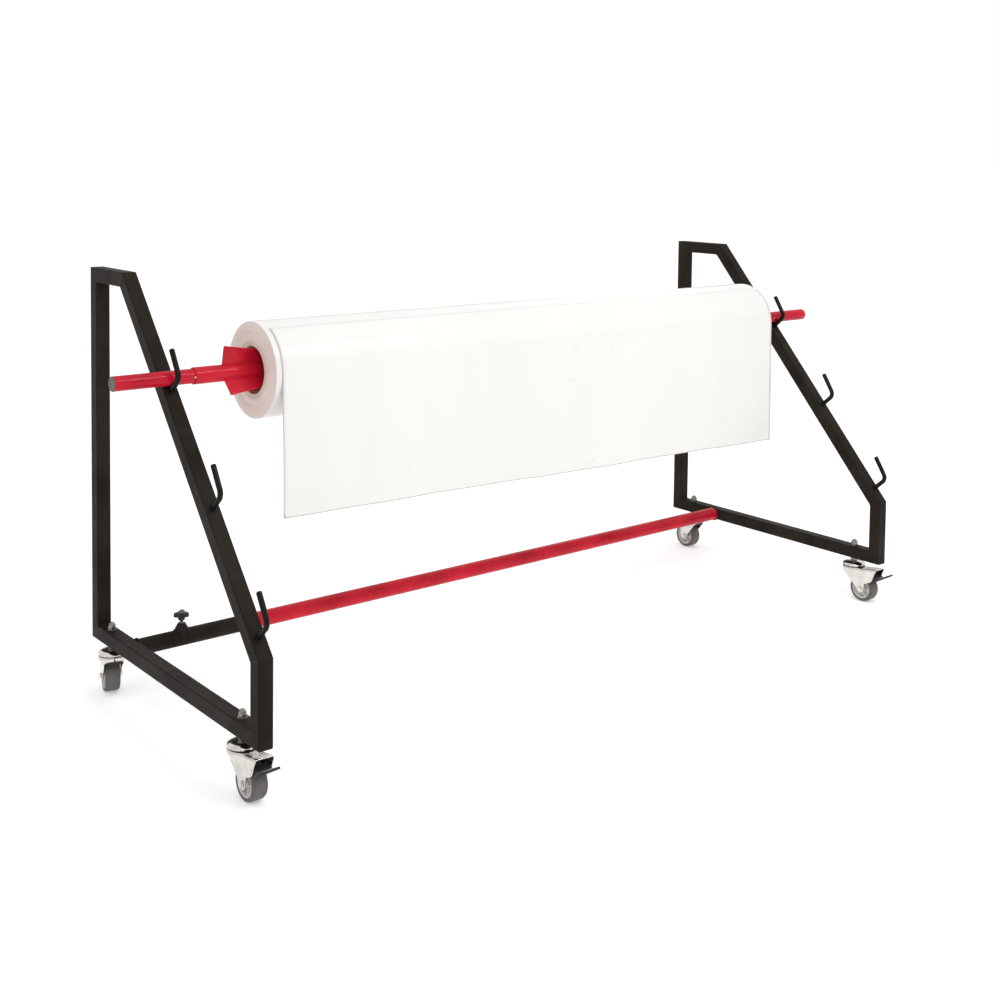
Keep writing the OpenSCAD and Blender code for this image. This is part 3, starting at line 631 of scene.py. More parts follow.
def buildCastor(name, frameBody):
    c = castorSize
    place, stem, axle, sideways, forward, trail = placeCastor(name)
    braked = name.startswith("front")
    up = (0, 0, 1)
    swivelBody, rollerBody = name + "_swivel", name + "_roller"
    # fork
    shellPoints, shellFaces = castorShell(trail, braked)
    fork = makeMesh(name + "_forkShell", [(place(shellPoints), shellFaces)], castorChrome, sharpDegrees=50)
    turnOutwards(fork, place([[0, trail * 0.5, 0.055]])[0])
    addSolidify(fork, c["sheet"])
    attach(fork, swivelBody)
    # ball race between the fork and the cup
    lip = revolve(roundProfile([(0.0065, 0.1115), (0.0355, 0.1115), (0.0365, 0.1132), (0.0355, 0.1142), (0.0065, 0.1142)],
                               0.0005), stem, up, 72)
    raceParts = [lip]
    if not braked:
        # a dark apron under the crown, an arc of 100 degrees about the swivel axis on the side away from the wheel; it
        # stands for the underside of a hood there, and its near-black colour is painted shade on that underside
        u, v, w = turnBasis(up)
        leading = math.atan2(-forward @ v, -forward @ u)
        apron = [(0.0335, 0.0925), (0.0350, 0.0925), (0.0350, 0.1110), (0.0335, 0.1110)]
        raceParts.append(revolve(apron, stem, up, 40, start=leading - math.radians(50), sweep=math.radians(100)))
    race = makeMesh(name + "_lowerRace", raceParts, darkSteel)
    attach(race, swivelBody)
    # axle bolt, its nut and the washers
    half = c["legOuter"] + 0.0004
    bolt = [revolve([(0.0001, -half - 0.001), (0.0039, -half - 0.001), (0.0039, half + 0.006), (0.0033, half + 0.0068), (0.0001, half + 0.0068)],
                    axle, sideways, 32, closed=False)]
    for sign in (-1, 1):
        side = sideways * sign
        bolt.append(revolve(roundProfile([(0.004, 0), (0.0085, 0), (0.0085, 0.0012), (0.004, 0.0012)], 0.0003), axle + side * half, side, 40))
        bolt.append(hexParts(axle + side * (half + 0.0012), side, 0.013, 0.0042))
    axleBolt = makeMesh(name + "_axleBolt", bolt, brightSteel, sharpDegrees=28)
    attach(axleBolt, swivelBody)
    # wheel centre: hub, dished web with spokes between, and the rim that holds the tyre
    h, r = c["hubHalf"], c["rimRadius"]
    web = roundProfile([(0.0045, -h), (0.0095, -h), (0.0115, -h + 0.004), (0.0125, -0.007), (r - 0.0075, -0.005), (r - 0.0038, -0.017),
                        (r - 0.0025, -0.0195), (r, -0.0195), (r, 0.0195), (r - 0.0025, 0.0195), (r - 0.0038, 0.017), (r - 0.0075, 0.005),
                        (0.0125, 0.007), (0.0115, h - 0.004), (0.0095, h), (0.0045, h)], 0.0009, 4)
    centre = [revolve(web, axle, sideways, 96)]
    u, v, w = turnBasis(sideways)
    for k in range(6):
        angle = k * math.pi / 3
        along = u * math.cos(angle) + v * math.sin(angle)
        across = -u * math.sin(angle) + v * math.cos(angle)

        def ribPlace(grid, along=along, across=across):
            return axle + grid[:, :1] * along + grid[:, 1:2] * sideways + (grid[:, 2:3] - 0.001) * across
        rib = roundedLoop([(0.010, -0.0155), (0.014, -0.0165), (r - 0.003, -0.0175), (r - 0.003, 0.0175), (0.014, 0.0165), (0.010, 0.0155)], 0.001, 3)
        centre.append(plateParts(rib, 0.002, ribPlace, 0.0003))
    hub = makeMesh(name + "_wheelCentre", centre, wheelGrey, sharpDegrees=35)
    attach(hub, rollerBody)
    # tyre: flat running band, large shoulders and a fine step against the rim
    t, big = c["treadHalf"], c["wheelRadius"]
    tread = roundedLoop([(r, -t + 0.0012), (r + 0.0015, -t), (big - 0.0026, -t + 0.0004), (big - 0.0003, -t + 0.0052), (big, 0),
                         (big - 0.0003, t - 0.0052), (big - 0.0026, t - 0.0004), (r + 0.0015, t), (r, t - 0.0012)],
                        [0.0004, 0.0008, 0.0030, 0.0050, 0, 0.0050, 0.0030, 0.0008, 0.0004], 9)
    tyre = makeMesh(name + "_tyreRing", [revolve(tread, axle, sideways, 128)], tyreRubber, sharpDegrees=60)
    uvAlong(tyre, lambda p: np.column_stack([np.arctan2((p - axle) @ v, (p - axle) @ u) / (2 * math.pi), 0.5 + (p - axle) @ w / (4 * t)]))
    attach(tyre, rollerBody)
    # cup, lock nut, washer and threaded stem, which stay with the side frame
    top = c["raceTop"]
    cup = roundProfile([(0.0062, 0.1146), (0.0372, 0.1146), (0.0378, 0.1172), (0.0370, 0.1195), (0.0345, 0.1218), (0.0290, 0.1246), (0.0205, top - 0.0004),
                        (0.0150, top), (0.0062, top)], [0.0004, 0.0006, 0.0015, 0.003, 0.004, 0.006, 0.004, 0.001, 0.0003], 6)
    upperRace = makeMesh(name + "_raceCup", [revolve(cup, stem, up, 96)], castorChrome, sharpDegrees=35)
    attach(upperRace, frameBody)
    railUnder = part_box(("left" if "left" in name else "right") + "_bottom_rail")[0][2]
    railTop = railUnder + 0.040
    hardware = [hexParts(stem + (0, 0, railUnder - 0.0025 - 0.009), up, 0.019, 0.009, 0.12),
                revolve(roundProfile([(0.006, -0.0025), (0.013, -0.0025), (0.013, 0), (0.006, 0)], 0.0005), stem + (0, 0, railUnder), up, 48),
                revolve(roundProfile([(0.006, 0), (0.012, 0), (0.012, 0.0025), (0.006, 0.0025)], 0.0005), stem + (0, 0, railTop), up, 48),
                hexParts(stem + (0, 0, railTop + 0.0025), up, 0.019, 0.011, 0.1)]
    domeAngle = np.linspace(0, math.pi / 2, 12)
    dome = np.column_stack([0.0088 * np.cos(domeAngle) + 1e-5, 0.0134 + 0.0088 * np.sin(domeAngle)])
    hardware.append(revolve(np.concatenate([[(0.0001, 0.0131), (0.0093, 0.0131)], dome]), stem + (0, 0, railTop), up, 48, closed=True))
    turns = 9
    step = np.linspace(0, 1, turns * 12)
    threadProfile = np.column_stack([0.0056 + 0.0004 * np.cos(step * turns * 2 * math.pi), top - 0.001 + step * (railUnder - top + 0.001)])
    threadProfile = np.concatenate([[(0.0001, top - 0.001)], threadProfile, [(0.0001, railUnder)]])
    hardware.append(revolve(threadProfile, stem, up, 32, closed=True))
    hardware.append(revolve(roundProfile([(0.0001, 0.1045), (0.010, 0.1045), (0.010, 0.1085), (0.0062, 0.1085), (0.0062, 0.1150), (0.0001, 0.1150)], 0.0003), stem, up, 40))
    stemSet = makeMesh(name + "_stemSet", hardware, zincPlate, sharpDegrees=28)
    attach(stemSet, frameBody)
    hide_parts(name + "_fork")
    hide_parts(name + "_axle")
    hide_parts(name + "_wheel")
    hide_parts(name + "_tyre")
    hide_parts(name + "_stem")
    if braked:
        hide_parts(name.split("_")[1] + "_castor_nuts")
    if braked:
        buildPedal(name, place)


pedalSize = dict(root=(0.085, 0.070), tip=(0.147, 0.106), rootHalf=0.020, tipHalf=0.007, skew=0.012, body=0.0056, pin=(0.086, 0.090))


def buildPedal(name, place):
    # a tapering tread that slopes up to a rounded, slightly offset tip, over a dark moulded body with a cam round the pin
    p = pedalSize
    root, tip = np.array(p["root"]), np.array(p["tip"])
    length = float(np.linalg.norm(tip - root))
    along = (tip - root) / length
    normal = np.array([-along[1], along[0]])

    def onTread(lift):
        def mapped(grid):
            spot = root + grid[:, 1:2] * along + (grid[:, 2:3] + lift) * normal
            return place(np.column_stack([grid[:, 0], spot]))
        return mapped
    w, e, s = p["rootHalf"], p["tipHalf"], p["skew"]
    outline = [(-w, 0.0), (w, 0.0), (w - 0.001, 0.012), (e - s, length - 0.0005), (-e - s, length - 0.0005), (-w + 0.0004, 0.012)]
    body = plateParts(roundedLoop(outline, [0.003, 0.003, 0.01, 0.0058, 0.0058, 0.01], 8), p["body"], onTread(0), 0.0012)
    pinY, pinZ = p["pin"]
    cam = roundedLoop([(pinY - 0.008, pinZ - 0.006), (pinY - 0.008, pinZ + 0.006), (pinY, pinZ + 0.009), (pinY + 0.018, pinZ + 0.002),
                       (pinY + 0.024, pinZ - 0.004), (pinY + 0.004, pinZ - 0.016)], 0.003, 5)
    camHalf = 0.0205
    block = plateParts(cam, 2 * camHalf, lambda g: place(np.column_stack([g[:, 2] - camHalf, g[:, :2]])), 0.001)
    pedal = makeMesh(name + "_pedalBody", [body, block], pedalBlack, sharpDegrees=35)
    inset = 0.0012
    outline = [(-w + inset, inset), (w - inset, inset), (w - 0.001 - inset, 0.012), (e - s - inset, length - 0.0005 - inset),
               (-e - s + inset, length - 0.0005 - inset), (-w + 0.0004 + inset, 0.012)]
    skin = plateParts(roundedLoop(outline, [0.0025, 0.0025, 0.01, 0.005, 0.005, 0.01], 8), 0.0011, onTread(p["body"] - 0.0006), 0.0003)
    ribs = []
    for k in range(5):
        y0 = 0.026 + k * 0.0065
        mid = -s * (y0 / length)
        half = w + (e - w) * y0 / length - 0.006
        line = np.column_stack([np.linspace(mid - half, mid + half, 12), np.full(12, y0), np.full(12, 0.0)])
        ribs.append(sweepTube(onTread(p["body"] + 0.0005)(line), 0.0008, 8))
    plate = makeMesh(name + "_pedalPlate", [skin] + ribs, brightSteel, sharpDegrees=35)
    for piece, slot in ((pedal, "pedal_paint"), (plate, "pedal_paint")):
        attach(piece, name + "_brake")
    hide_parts(name + "_pedal")
    pinHalf = 0.0268
    pin = revolve(roundProfile([(0.0001, -pinHalf), (0.0024, -pinHalf), (0.0036, -pinHalf + 0.0004), (0.0036, -pinHalf + 0.001), (0.0024, -pinHalf + 0.0011),
                                (0.0024, pinHalf - 0.0011), (0.0036, pinHalf - 0.001), (0.0036, pinHalf - 0.0004), (0.0024, pinHalf), (0.0001, pinHalf)], 0.0002, 3),
                  place([[0, pinY, pinZ]])[0], place([[1, 0, 0]])[0] - place([[0, 0, 0]])[0], 24)
    rivet = makeMesh(name + "_pedalRivet", [pin], brightSteel)
    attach(rivet, name + "_swivel")
    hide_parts(name + "_pedal_pin")


def turnOutwards(ob, inside):
    # flips an open sheet whose faces look towards the given inner point
    mesh = ob.data
    n = np.empty(len(mesh.polygons) * 3)
    c = np.empty(len(mesh.polygons) * 3)
    area = np.empty(len(mesh.polygons))
    mesh.polygons.foreach_get("normal", n)
    mesh.polygons.foreach_get("center", c)
    mesh.polygons.foreach_get("area", area)
    away = ((c.reshape(-1, 3) - inside) * n.reshape(-1, 3)).sum(1) * area
    if away.sum() < 0:
        mesh.flip_normals()


for castorName in ("front_left", "front_right", "rear_left", "rear_right"):
    buildCastor(castorName, "left_frame" if castorName.endswith("left") else "right_frame")
print("castors built")


# hooks: one rod, straight out of the tube, round the elbow and up to a rounded tip, with a weld at its root

rodSize = dict(radius=0.007, reach=0.042, bend=0.020, rise=0.078, flare=math.radians(9), first=0.055, pitch=0.335)


def inclineFrame(side):
    low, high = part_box(side + "_front_post"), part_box(side + "_top_rail")
    middleX = (low[0][0] + low[1][0]) / 2
    lower = np.array([middleX, low[0][1], low[1][2]])
    upper = np.array([middleX, high[0][1], high[1][2]])
    along = upper - lower
    along /= np.linalg.norm(along)
    outward = np.array([0, -along[2], along[1]])
    return lower, along, outward


def hookPath():
    # rows of (outward, upward): a leg, a circular arc through 81 degrees and a straight end leaning outwards
    r = rodSize
    turn = math.pi / 2 - r["flare"]
    leg = np.column_stack([np.linspace(-0.002, r["reach"], 10), np.zeros(10)])
    a = np.linspace(0, turn, 22)[1:]
    arc = np.column_stack([r["reach"] + r["bend"] * np.sin(a), r["bend"] * (1 - np.cos(a))])
    length = (r["rise"] - arc[-1, 1]) / math.cos(r["flare"])
    t = np.linspace(0, length - 0.002, 10)[1:, None]
    end = arc[-1] + t * np.array([math.sin(r["flare"]), math.cos(r["flare"])])
    return np.concatenate([leg, arc, end])


def weldBead(path, width, seed, ripple=0.0004):
    # a bead carried along a path: its thickness swells a little with every puddle, and it wanders slightly
    path = np.asarray(path, float)
    rng = np.random.default_rng(seed)
    s = np.concatenate([[0], np.cumsum(np.linalg.norm(np.diff(path, axis=0), axis=1))])
    swell = width / 2 * (1 + 0.10 * np.sin(s / 0.0016) + 0.08 * np.interp(s, np.linspace(0, s[-1], 12), rng.uniform(-1, 1, 12)))
    return sweepTube(path, swell, 10)


def hookPiece(side, level, s):
    lower, along, outward = inclineFrame(side)
    root = lower + along * s
    flat = hookPath()
    path = root + flat[:, :1] * outward + flat[:, 1:2] * along
    rod = sweepTube(path, rodSize["radius"], 28)
    angle = np.linspace(0, 2 * math.pi, 49)
    sideways = np.array([1.0, 0, 0])
    ring = root + outward * 0.0012 + 0.0078 * (np.cos(angle)[:, None] * sideways + np.sin(angle)[:, None] * along)
    bead = weldBead(ring, 0.0042, int(s * 1000) + (7 if side == "left" else 3))
    ob = makeMesh(side + "_hookRod_" + level, [rod, bead], hookBlack, sharpDegrees=60)
    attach(ob, side + "_frame")
    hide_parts(side + "_hook_" + level)


for side in ("left", "right"):
    for k, level in enumerate(("low", "mid", "top")):
        hookPiece(side, level, rodSize["first"] + k * rodSize["pitch"])


def frameWelds(side):
    # beads in the inner corners of the mitres and, on the flat sides, a ground-down seam along each mitre
    rail, post, incline = side + "_bottom_rail", side + "_front_post", side + "_incline"
    t = 0.040
    x0, x1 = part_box(rail)[0][0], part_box(rail)[1][0]
    front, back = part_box(rail)[0][1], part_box(rail)[1][1]
    bottom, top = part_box(rail)[0][2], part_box(side + "_top_rail")[1][2]
    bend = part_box(post)[1][2]
    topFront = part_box(side + "_top_rail")[0][1]
    outer = np.array([(front, bottom), (front, bend), (topFront, top), (back, top), (back, bottom)])
    middle = outer.mean(0)
    parts = []
    for k in range(5):
        p, a, b = outer[k], outer[k - 1], outer[(k + 1) % 5]
        da, db = (p - a) / np.linalg.norm(p - a), (b - p) / np.linalg.norm(b - p)
        na, nb = np.array([da[1], -da[0]]), np.array([db[1], -db[0]])
        q = p + t * (na + nb) / (1 + na @ nb)
        n = 40
        inset = q + (q - p) / np.linalg.norm(q - p) * 0.0002
        line = np.column_stack([np.linspace(x0 + 0.0045, x1 - 0.0045, n), np.full(n, inset[0]), np.full(n, inset[1])])
        parts.append(weldBead(line, 0.0052, 40 + k + (0 if side == "left" else 10)))
        for x, seed in ((x0 + 0.0002, 60), (x1 - 0.0002, 70)):
            u = np.linspace(0.12, 0.9, 44)[:, None]
            seam = p + (q - p) * u
            line = np.column_stack([np.full(44, x), seam])
            s = weldBead(line, 0.0030, seed + k)
            points = s[0].copy()
            points[:, 0] = x + (points[:, 0] - x) * 0.45
            parts.append((points, s[1]))
    ob = makeMesh(side + "_weldSeams", parts, weldBlack, sharpDegrees=70)
    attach(ob, side + "_frame")


for side in ("left", "right"):
    frameWelds(side)


def ringWeld(name, centre, axis, radius, width, body, seed, material=None):
    u, v, w = turnBasis(axis)
    angle = np.linspace(0, 2 * math.pi, 73)
    ring = np.asarray(centre) + radius * (np.cos(angle)[:, None] * u + np.sin(angle)[:, None] * v)
    ob = makeMesh(name, [weldBead(ring, width, seed)], material or weldBlack, sharpDegrees=70)
    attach(ob, body)


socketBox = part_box("crossbar_socket")
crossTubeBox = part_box("crossbar_tube")
crossY = (socketBox[0][1] + socketBox[1][1]) / 2
crossZ = (crossTubeBox[0][2] + crossTubeBox[1][2]) / 2
crossRadius = (crossTubeBox[1][2] - crossTubeBox[0][2]) / 2
ringWeld("left_crossWeld", (socketBox[0][0] + 0.0012, crossY, crossZ), (1, 0, 0), crossRadius + 0.0008, 0.005, "left_frame", 5)
ringWeld("right_crossWeld", (crossTubeBox[1][0] - 0.0012, crossY, crossZ), (1, 0, 0), crossRadius + 0.0008, 0.005, "right_frame", 6)
print("hooks and welds built")


# clamp: threaded nut on the socket, stud and three-lobed knob

clampSize = dict(knobGap=0.009, lobeReach=0.023, waist=0.0125, studRadius=0.005, footRadius=0.020, topRadius=0.011)


def buildClamp():
    c = clampSize
    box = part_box("clamp_nut")
    centre = np.array([(box[0][0] + box[1][0]) / 2, (box[0][1] + box[1][1]) / 2, 0.0])
    top = box[1][2]
    up = (0, 0, 1)
    crest = crossZ + crossRadius - top
    foot, head = c["footRadius"], c["topRadius"]
    side = crest - crossRadius + math.sqrt(crossRadius ** 2 - foot ** 2)
    boss = [revolve(roundProfile([(0.00505, side), (foot, side), (foot, crest), (head, -0.0006), (head - 0.0008, 0), (0.00505, 0)],
                                 [0, 0, 0.003, 0.001, 0.0005, 0.0003]), centre + (0, 0, top), up, 64)]
    angle = np.linspace(0, 2 * math.pi, 73)
    saddleX = (foot + 0.0006) * np.cos(angle)
    saddleY = (foot + 0.0006) * np.sin(angle)
    saddleZ = crossZ + np.sqrt((crossRadius + 0.0008) ** 2 - saddleY ** 2)
    boss.append(weldBead(centre + np.column_stack([saddleX, saddleY, saddleZ]), 0.0045, 12))
    nut = makeMesh("clampBoss", boss, weldBlack, sharpDegrees=40)
    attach(nut, "left_frame")
    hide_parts("clamp_nut")
    studLow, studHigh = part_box("clamp_stud")[0][2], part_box("clamp_stud")[1][2]
    count = int((studHigh - studLow) / 0.0015)
    h = np.linspace(studLow + 0.001, studHigh, count * 10)
    r = c["studRadius"] - 0.0003 + 0.0003 * np.cos((h - studLow) / 0.0015 * 2 * math.pi)
    profile = np.concatenate([[(0.0001, studLow), (0.0042, studLow)], np.column_stack([r, h]), [(0.0001, studHigh)]])
    stud = makeMesh("clampScrew", [revolve(profile, centre, up, 48)], zincPlate, sharpDegrees=50)
    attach(stud, "clamp")
    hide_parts("clamp_stud")
    # knob: at each height a closed curve of three smooth lobes; the neck below is round, the crown above is domed
    base = top + c["knobGap"]
    h = np.concatenate([np.linspace(0, 0.0085, 10), np.linspace(0.0090, 0.0115, 6), np.linspace(0.0120, 0.0185, 8),
                        0.0185 + 0.0035 * np.sin(np.linspace(0.15, math.pi / 2, 10))])
    theta = np.linspace(0, 2 * math.pi, 120, endpoint=False)
    lobe = ((1 + np.cos(3 * (theta - math.pi))) / 2) ** 1.6
    full = c["waist"] + (c["lobeReach"] - c["waist"]) * lobe
    spread = smoothStep((h - 0.0075) / 0.004)
    neck = np.interp(h, [0, 0.0015, 0.0100, 0.022], [0.0082, 0.0092, 0.0105, 0.0105])
    close = np.where(h > 0.0185, np.cos(np.arcsin(np.clip((h - 0.0185) / 0.0035, 0, 1))), 1.0)
    edge = np.where(h > 0.0185, 0.0035 * (1 - close), 0.0)
    shape = neck[:, None] * (1 - spread[:, None]) + full[None, :] * spread[:, None] - edge[:, None]
    ringX, ringY = shape * np.cos(theta), shape * np.sin(theta)
    rows = np.stack([ringX, ringY, np.repeat(h[:, None], len(theta), 1)], axis=-1)
    crown = []
    for f, lift in ((0.8, 0.0002), (0.55, 0.0005), (0.28, 0.0006), (0.02, 0.0006)):
        crown.append(np.stack([ringX[-1] * f, ringY[-1] * f, np.full(len(theta), h[-1] - 0.0001 + lift * 0.1)], axis=-1))
    under = np.stack([ringX[0] * 0.6, ringY[0] * 0.6, np.full(len(theta), h[0])], axis=-1)
    grid = np.concatenate([under[None], rows, np.stack(crown)])
    points = grid.reshape(-1, 3) + centre + (0, 0, base)
    knob = makeMesh("clampKnobBody", [(points, gridFaces(len(grid), len(theta), closeCols=True))], knobBlack, sharpDegrees=60)
    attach(knob, "clamp")
    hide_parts("clamp_knob")


buildClamp()
print("clamp built")


# roll bar ends, stop pins and core plugs

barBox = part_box("roll_bar")
barY = (barBox[0][1] + barBox[1][1]) / 2
barZ = (barBox[0][2] + barBox[1][2]) / 2
barRadius = (barBox[1][2] - barBox[0][2]) / 2
across = np.array([1.0, 0, 0])


def buildBarEnds():
    for side, sign, material in (("left", -1, capBrown), ("right", 1, glossRed)):
        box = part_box("bar_cap_" + side)
        end = box[0][0] if sign < 0 else box[1][0]
        axis = across * sign
        r = barRadius
        inner = r - 0.0026
        arc = np.linspace(0, math.pi / 2, 8)
        head = np.column_stack([r - 0.0022 + 0.0022 * np.cos(arc), -0.0022 + 0.0022 * np.sin(arc)])
        profile = np.concatenate([[(0.0001, -0.021), (inner - 0.0004, -0.021), (inner, -0.0195), (inner, -0.003), (r - 0.0001, -0.003)], head,
                                  [(r * 0.55, 0.0), (r * 0.5, -0.0004), (0.0001, -0.0004)]])
        cap = makeMesh("barCap_" + side, [revolve(profile, (end, barY, barZ), axis, 72)], material, sharpDegrees=35)
        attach(cap, "bar")
        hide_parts("bar_cap_" + side)


def buildPins():
    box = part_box("stop_pins")
    parts = []
    front, back = box[0][1], box[1][1]
    for x in (box[0][0] + 0.0025, box[1][0] - 0.0025):
        half = (back - front) / 2
        arc = np.linspace(0, math.pi / 2, 6)
        endCap = np.column_stack([0.0018 + 0.0007 * np.cos(arc), half - 0.0007 + 0.0007 * np.sin(arc)])
        profile = np.concatenate([[(0.0001, -half)], endCap[::-1] * (1, -1), endCap, [(0.0001, half)]])
        parts.append(revolve(profile, (x, barY, barZ), (0, 1, 0), 24))
    pins = makeMesh("stopPinPair", parts, pinSteel, sharpDegrees=50)
    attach(pins, "bar")
    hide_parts("stop_pins")


plugSize = dict(finLength=0.130, finRadius=0.074, finThickness=0.005, slope=math.tan(math.radians(10.25)), firstTurn=12)


def buildPlug(side, sign):
    # sleeve with eased ends, and three tapering plates set round it, each welded along both of its feet
    p = plugSize
    sleeve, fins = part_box("plug_sleeve_" + side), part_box("plug_fins_" + side)
    r = (sleeve[1][2] - sleeve[0][2]) / 2
    bore = barRadius + 0.00005
    middle = (sleeve[0][0] + sleeve[1][0]) / 2
    half = (sleeve[1][0] - sleeve[0][0]) / 2
    tube = revolve(roundProfile([(bore, -half), (r, -half), (r, half), (bore, half)], 0.0009), (middle, barY, barZ), across, 96)
    ob = makeMesh("plugSleeve_" + side, [tube], glossRed, sharpDegrees=40)
    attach(ob, "roll")
    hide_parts("plug_sleeve_" + side)
    start = fins[0][0] if sign > 0 else fins[1][0]
    inner = r - 0.0004
    tipRadius = p["finRadius"] - p["finLength"] * p["slope"]
    outline = roundedLoop([(0, inner), (0, p["finRadius"]), (p["finLength"], tipRadius), (p["finLength"], inner)], [0, 0.0035, 0.003, 0], 5)
    parts, beads = [], []
    for k in range(3):
        turn = math.radians(p["firstTurn"] + 120 * k)
        out = np.array([0, -math.sin(turn), math.cos(turn)])
        flat = np.array([0, math.cos(turn), math.sin(turn)])

        def finPlace(grid, out=out, flat=flat):
            return np.array([start, barY, barZ]) + sign * grid[:, :1] * across + grid[:, 1:2] * out + (grid[:, 2:3] - p["finThickness"] / 2) * flat
        parts.append(plateParts(outline, p["finThickness"], finPlace, 0.0007))
        for lean in (-1, 1):
            n = 60
            foot = np.array([start, barY, barZ]) + sign * np.linspace(0.002, p["finLength"] - 0.002, n)[:, None] * across \
                + out * (r + 0.0003) + flat * lean * (p["finThickness"] / 2 + 0.0006)
            beads.append(weldBead(foot, 0.0036, 80 + k * 2 + (lean > 0) + (0 if side == "left" else 20)))
    plates = makeMesh("plugFins_" + side, parts, glossRed, sharpDegrees=35)
    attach(plates, "roll")
    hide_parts("plug_fins_" + side)
    welds = makeMesh("plugWelds_" + side, beads, glossRed, sharpDegrees=70)
    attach(welds, "roll")


buildBarEnds()
buildPins()
buildPlug("left", 1)
buildPlug("right", -1)
print("bar and plugs built")


# core, film roll and the free end of the film

filmSize = dict(coreInner=0.063, coreOuter=0.0755, roll=(0.1285, 0.0757), sheetGap=0.0009, sheetThickness=0.0004,
                wrapDegrees=62, waveHeight=0.004)
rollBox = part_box("film_roll")
rollLow, rollHigh = rollBox[0][0], rollBox[1][0]


def buildCore():
    f = filmSize
    length = rollHigh - rollLow
    section = roundProfile([(f["coreInner"], 0), (f["coreOuter"], 0), (f["coreOuter"], length), (f["coreInner"], length)], 0.0012, 5)
    bore = np.column_stack([np.full(40, f["coreInner"]), np.linspace(length - 0.002, 0.002, 40)])
    ob = makeMesh("filmCore", [revolve(np.concatenate([section, bore[::1]]), (rollLow, barY, barZ), across, 128)], coreBoard, sharpDegrees=40)
    centre = np.array([0, barY, barZ])
    uvAlong(ob, lambda p: np.column_stack([np.arctan2(p[:, 2] - centre[2], p[:, 1] - centre[1]) / (2 * math.pi), p[:, 0] - rollLow]))
    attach(ob, "roll")
    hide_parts("film_core")


def rollRadius(x, angle):
    # outer radius of the wound film: soft lengthwise gauge bands, faint corrugation and a slight sag
    s = (x - rollLow) / (rollHigh - rollLow)
    bands = 0.00035 * np.sin(2 * math.pi * 3.2 * s + 0.6) + 0.00022 * np.sin(2 * math.pi * 8.3 * s + 2.1) + 0.00012 * np.sin(2 * math.pi * 19 * s)
    edge = -0.0011 * np.exp(-((x - rollLow) / 0.006) ** 2) - 0.0011 * np.exp(-((rollHigh - x) / 0.006) ** 2)
    crease = 0.00018 * np.sin(5 * angle + 7 * s) * np.sin(2 * math.pi * 2 * s + 1.3)
    return filmSize["roll"][0] + bands + edge + crease


def buildRoll():
    # outside: radius as a function of width and angle. Ends: rings at a few hundred radii, with proud and sunken turns
    f = filmSize
    n = 192
    angle = np.linspace(0, 2 * math.pi, n, endpoint=False)
    x = np.concatenate([rollLow + 0.012 * (1 - np.cos(np.linspace(0, math.pi / 2, 9))), np.linspace(rollLow + 0.012, rollHigh - 0.012, 110)[1:-1],
                        rollHigh - 0.012 * (1 - np.cos(np.linspace(math.pi / 2, 0, 9)))])
    ax, aa = np.meshgrid(x, angle, indexing="ij")
    r = rollRadius(ax, aa)
    outside = np.stack([ax, barY - r * np.cos(aa), barZ + r * np.sin(aa)], axis=-1)
    skin = makeMesh("filmRollSkin", [(outside, gridFaces(len(x), n, closeCols=True))], filmRollMaterial, sharpDegrees=60)
    turnOutwards(skin, np.array([0, barY, barZ]))
    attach(skin, "roll")
    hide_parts("film_roll")
    rng = np.random.default_rng(11)
    for side, end, sign in (("left", rollLow, -1), ("right", rollHigh, 1)):
        m = 110
        t = np.linspace(0, 1, m)
        inner, outer = f["roll"][1], rollRadius(np.array([end]), np.array([0.0]))[0]
        radii = inner + (outer - inner) * t
        proud = 0.0007 * np.cumsum(rng.normal(0, 0.22, m)) + 0.00025 * rng.normal(0, 1, m)
        step = 0.0016 * smoothStep((t - 0.80) / 0.02) - 0.0012 * smoothStep((t - 0.93) / 0.02)
        depth = np.clip(proud + step, -0.0022, 0.0) * np.minimum(1, (1 - t) / 0.02) * np.minimum(1, t / 0.02)
        rr, aa = np.meshgrid(radii, angle, indexing="ij")
        last = rollRadius(np.full(n, end), angle)
        rr[-1] = last
        dd = np.repeat(depth[:, None], n, 1)
        face = np.stack([end + sign * dd, barY - rr * np.cos(aa), barZ + rr * np.sin(aa)], axis=-1)
        lip = face[:1].copy()
        lip[..., 0] = end - sign * 0.004
        disc = makeMesh("filmEnd_" + side, [(np.concatenate([lip, face]), gridFaces(m + 1, n, closeCols=True))], filmEndMaterial, sharpDegrees=70)
        turnOutwards(disc, np.array([end - sign * 0.3, barY, barZ]))
        uvAlong(disc, lambda p: np.column_stack([np.arctan2(p[:, 2] - barZ, p[:, 1] - barY) / (2 * math.pi),
                                                 (np.hypot(p[:, 1] - barY, p[:, 2] - barZ) - inner) / (outer - inner)]))
        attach(disc, "roll")


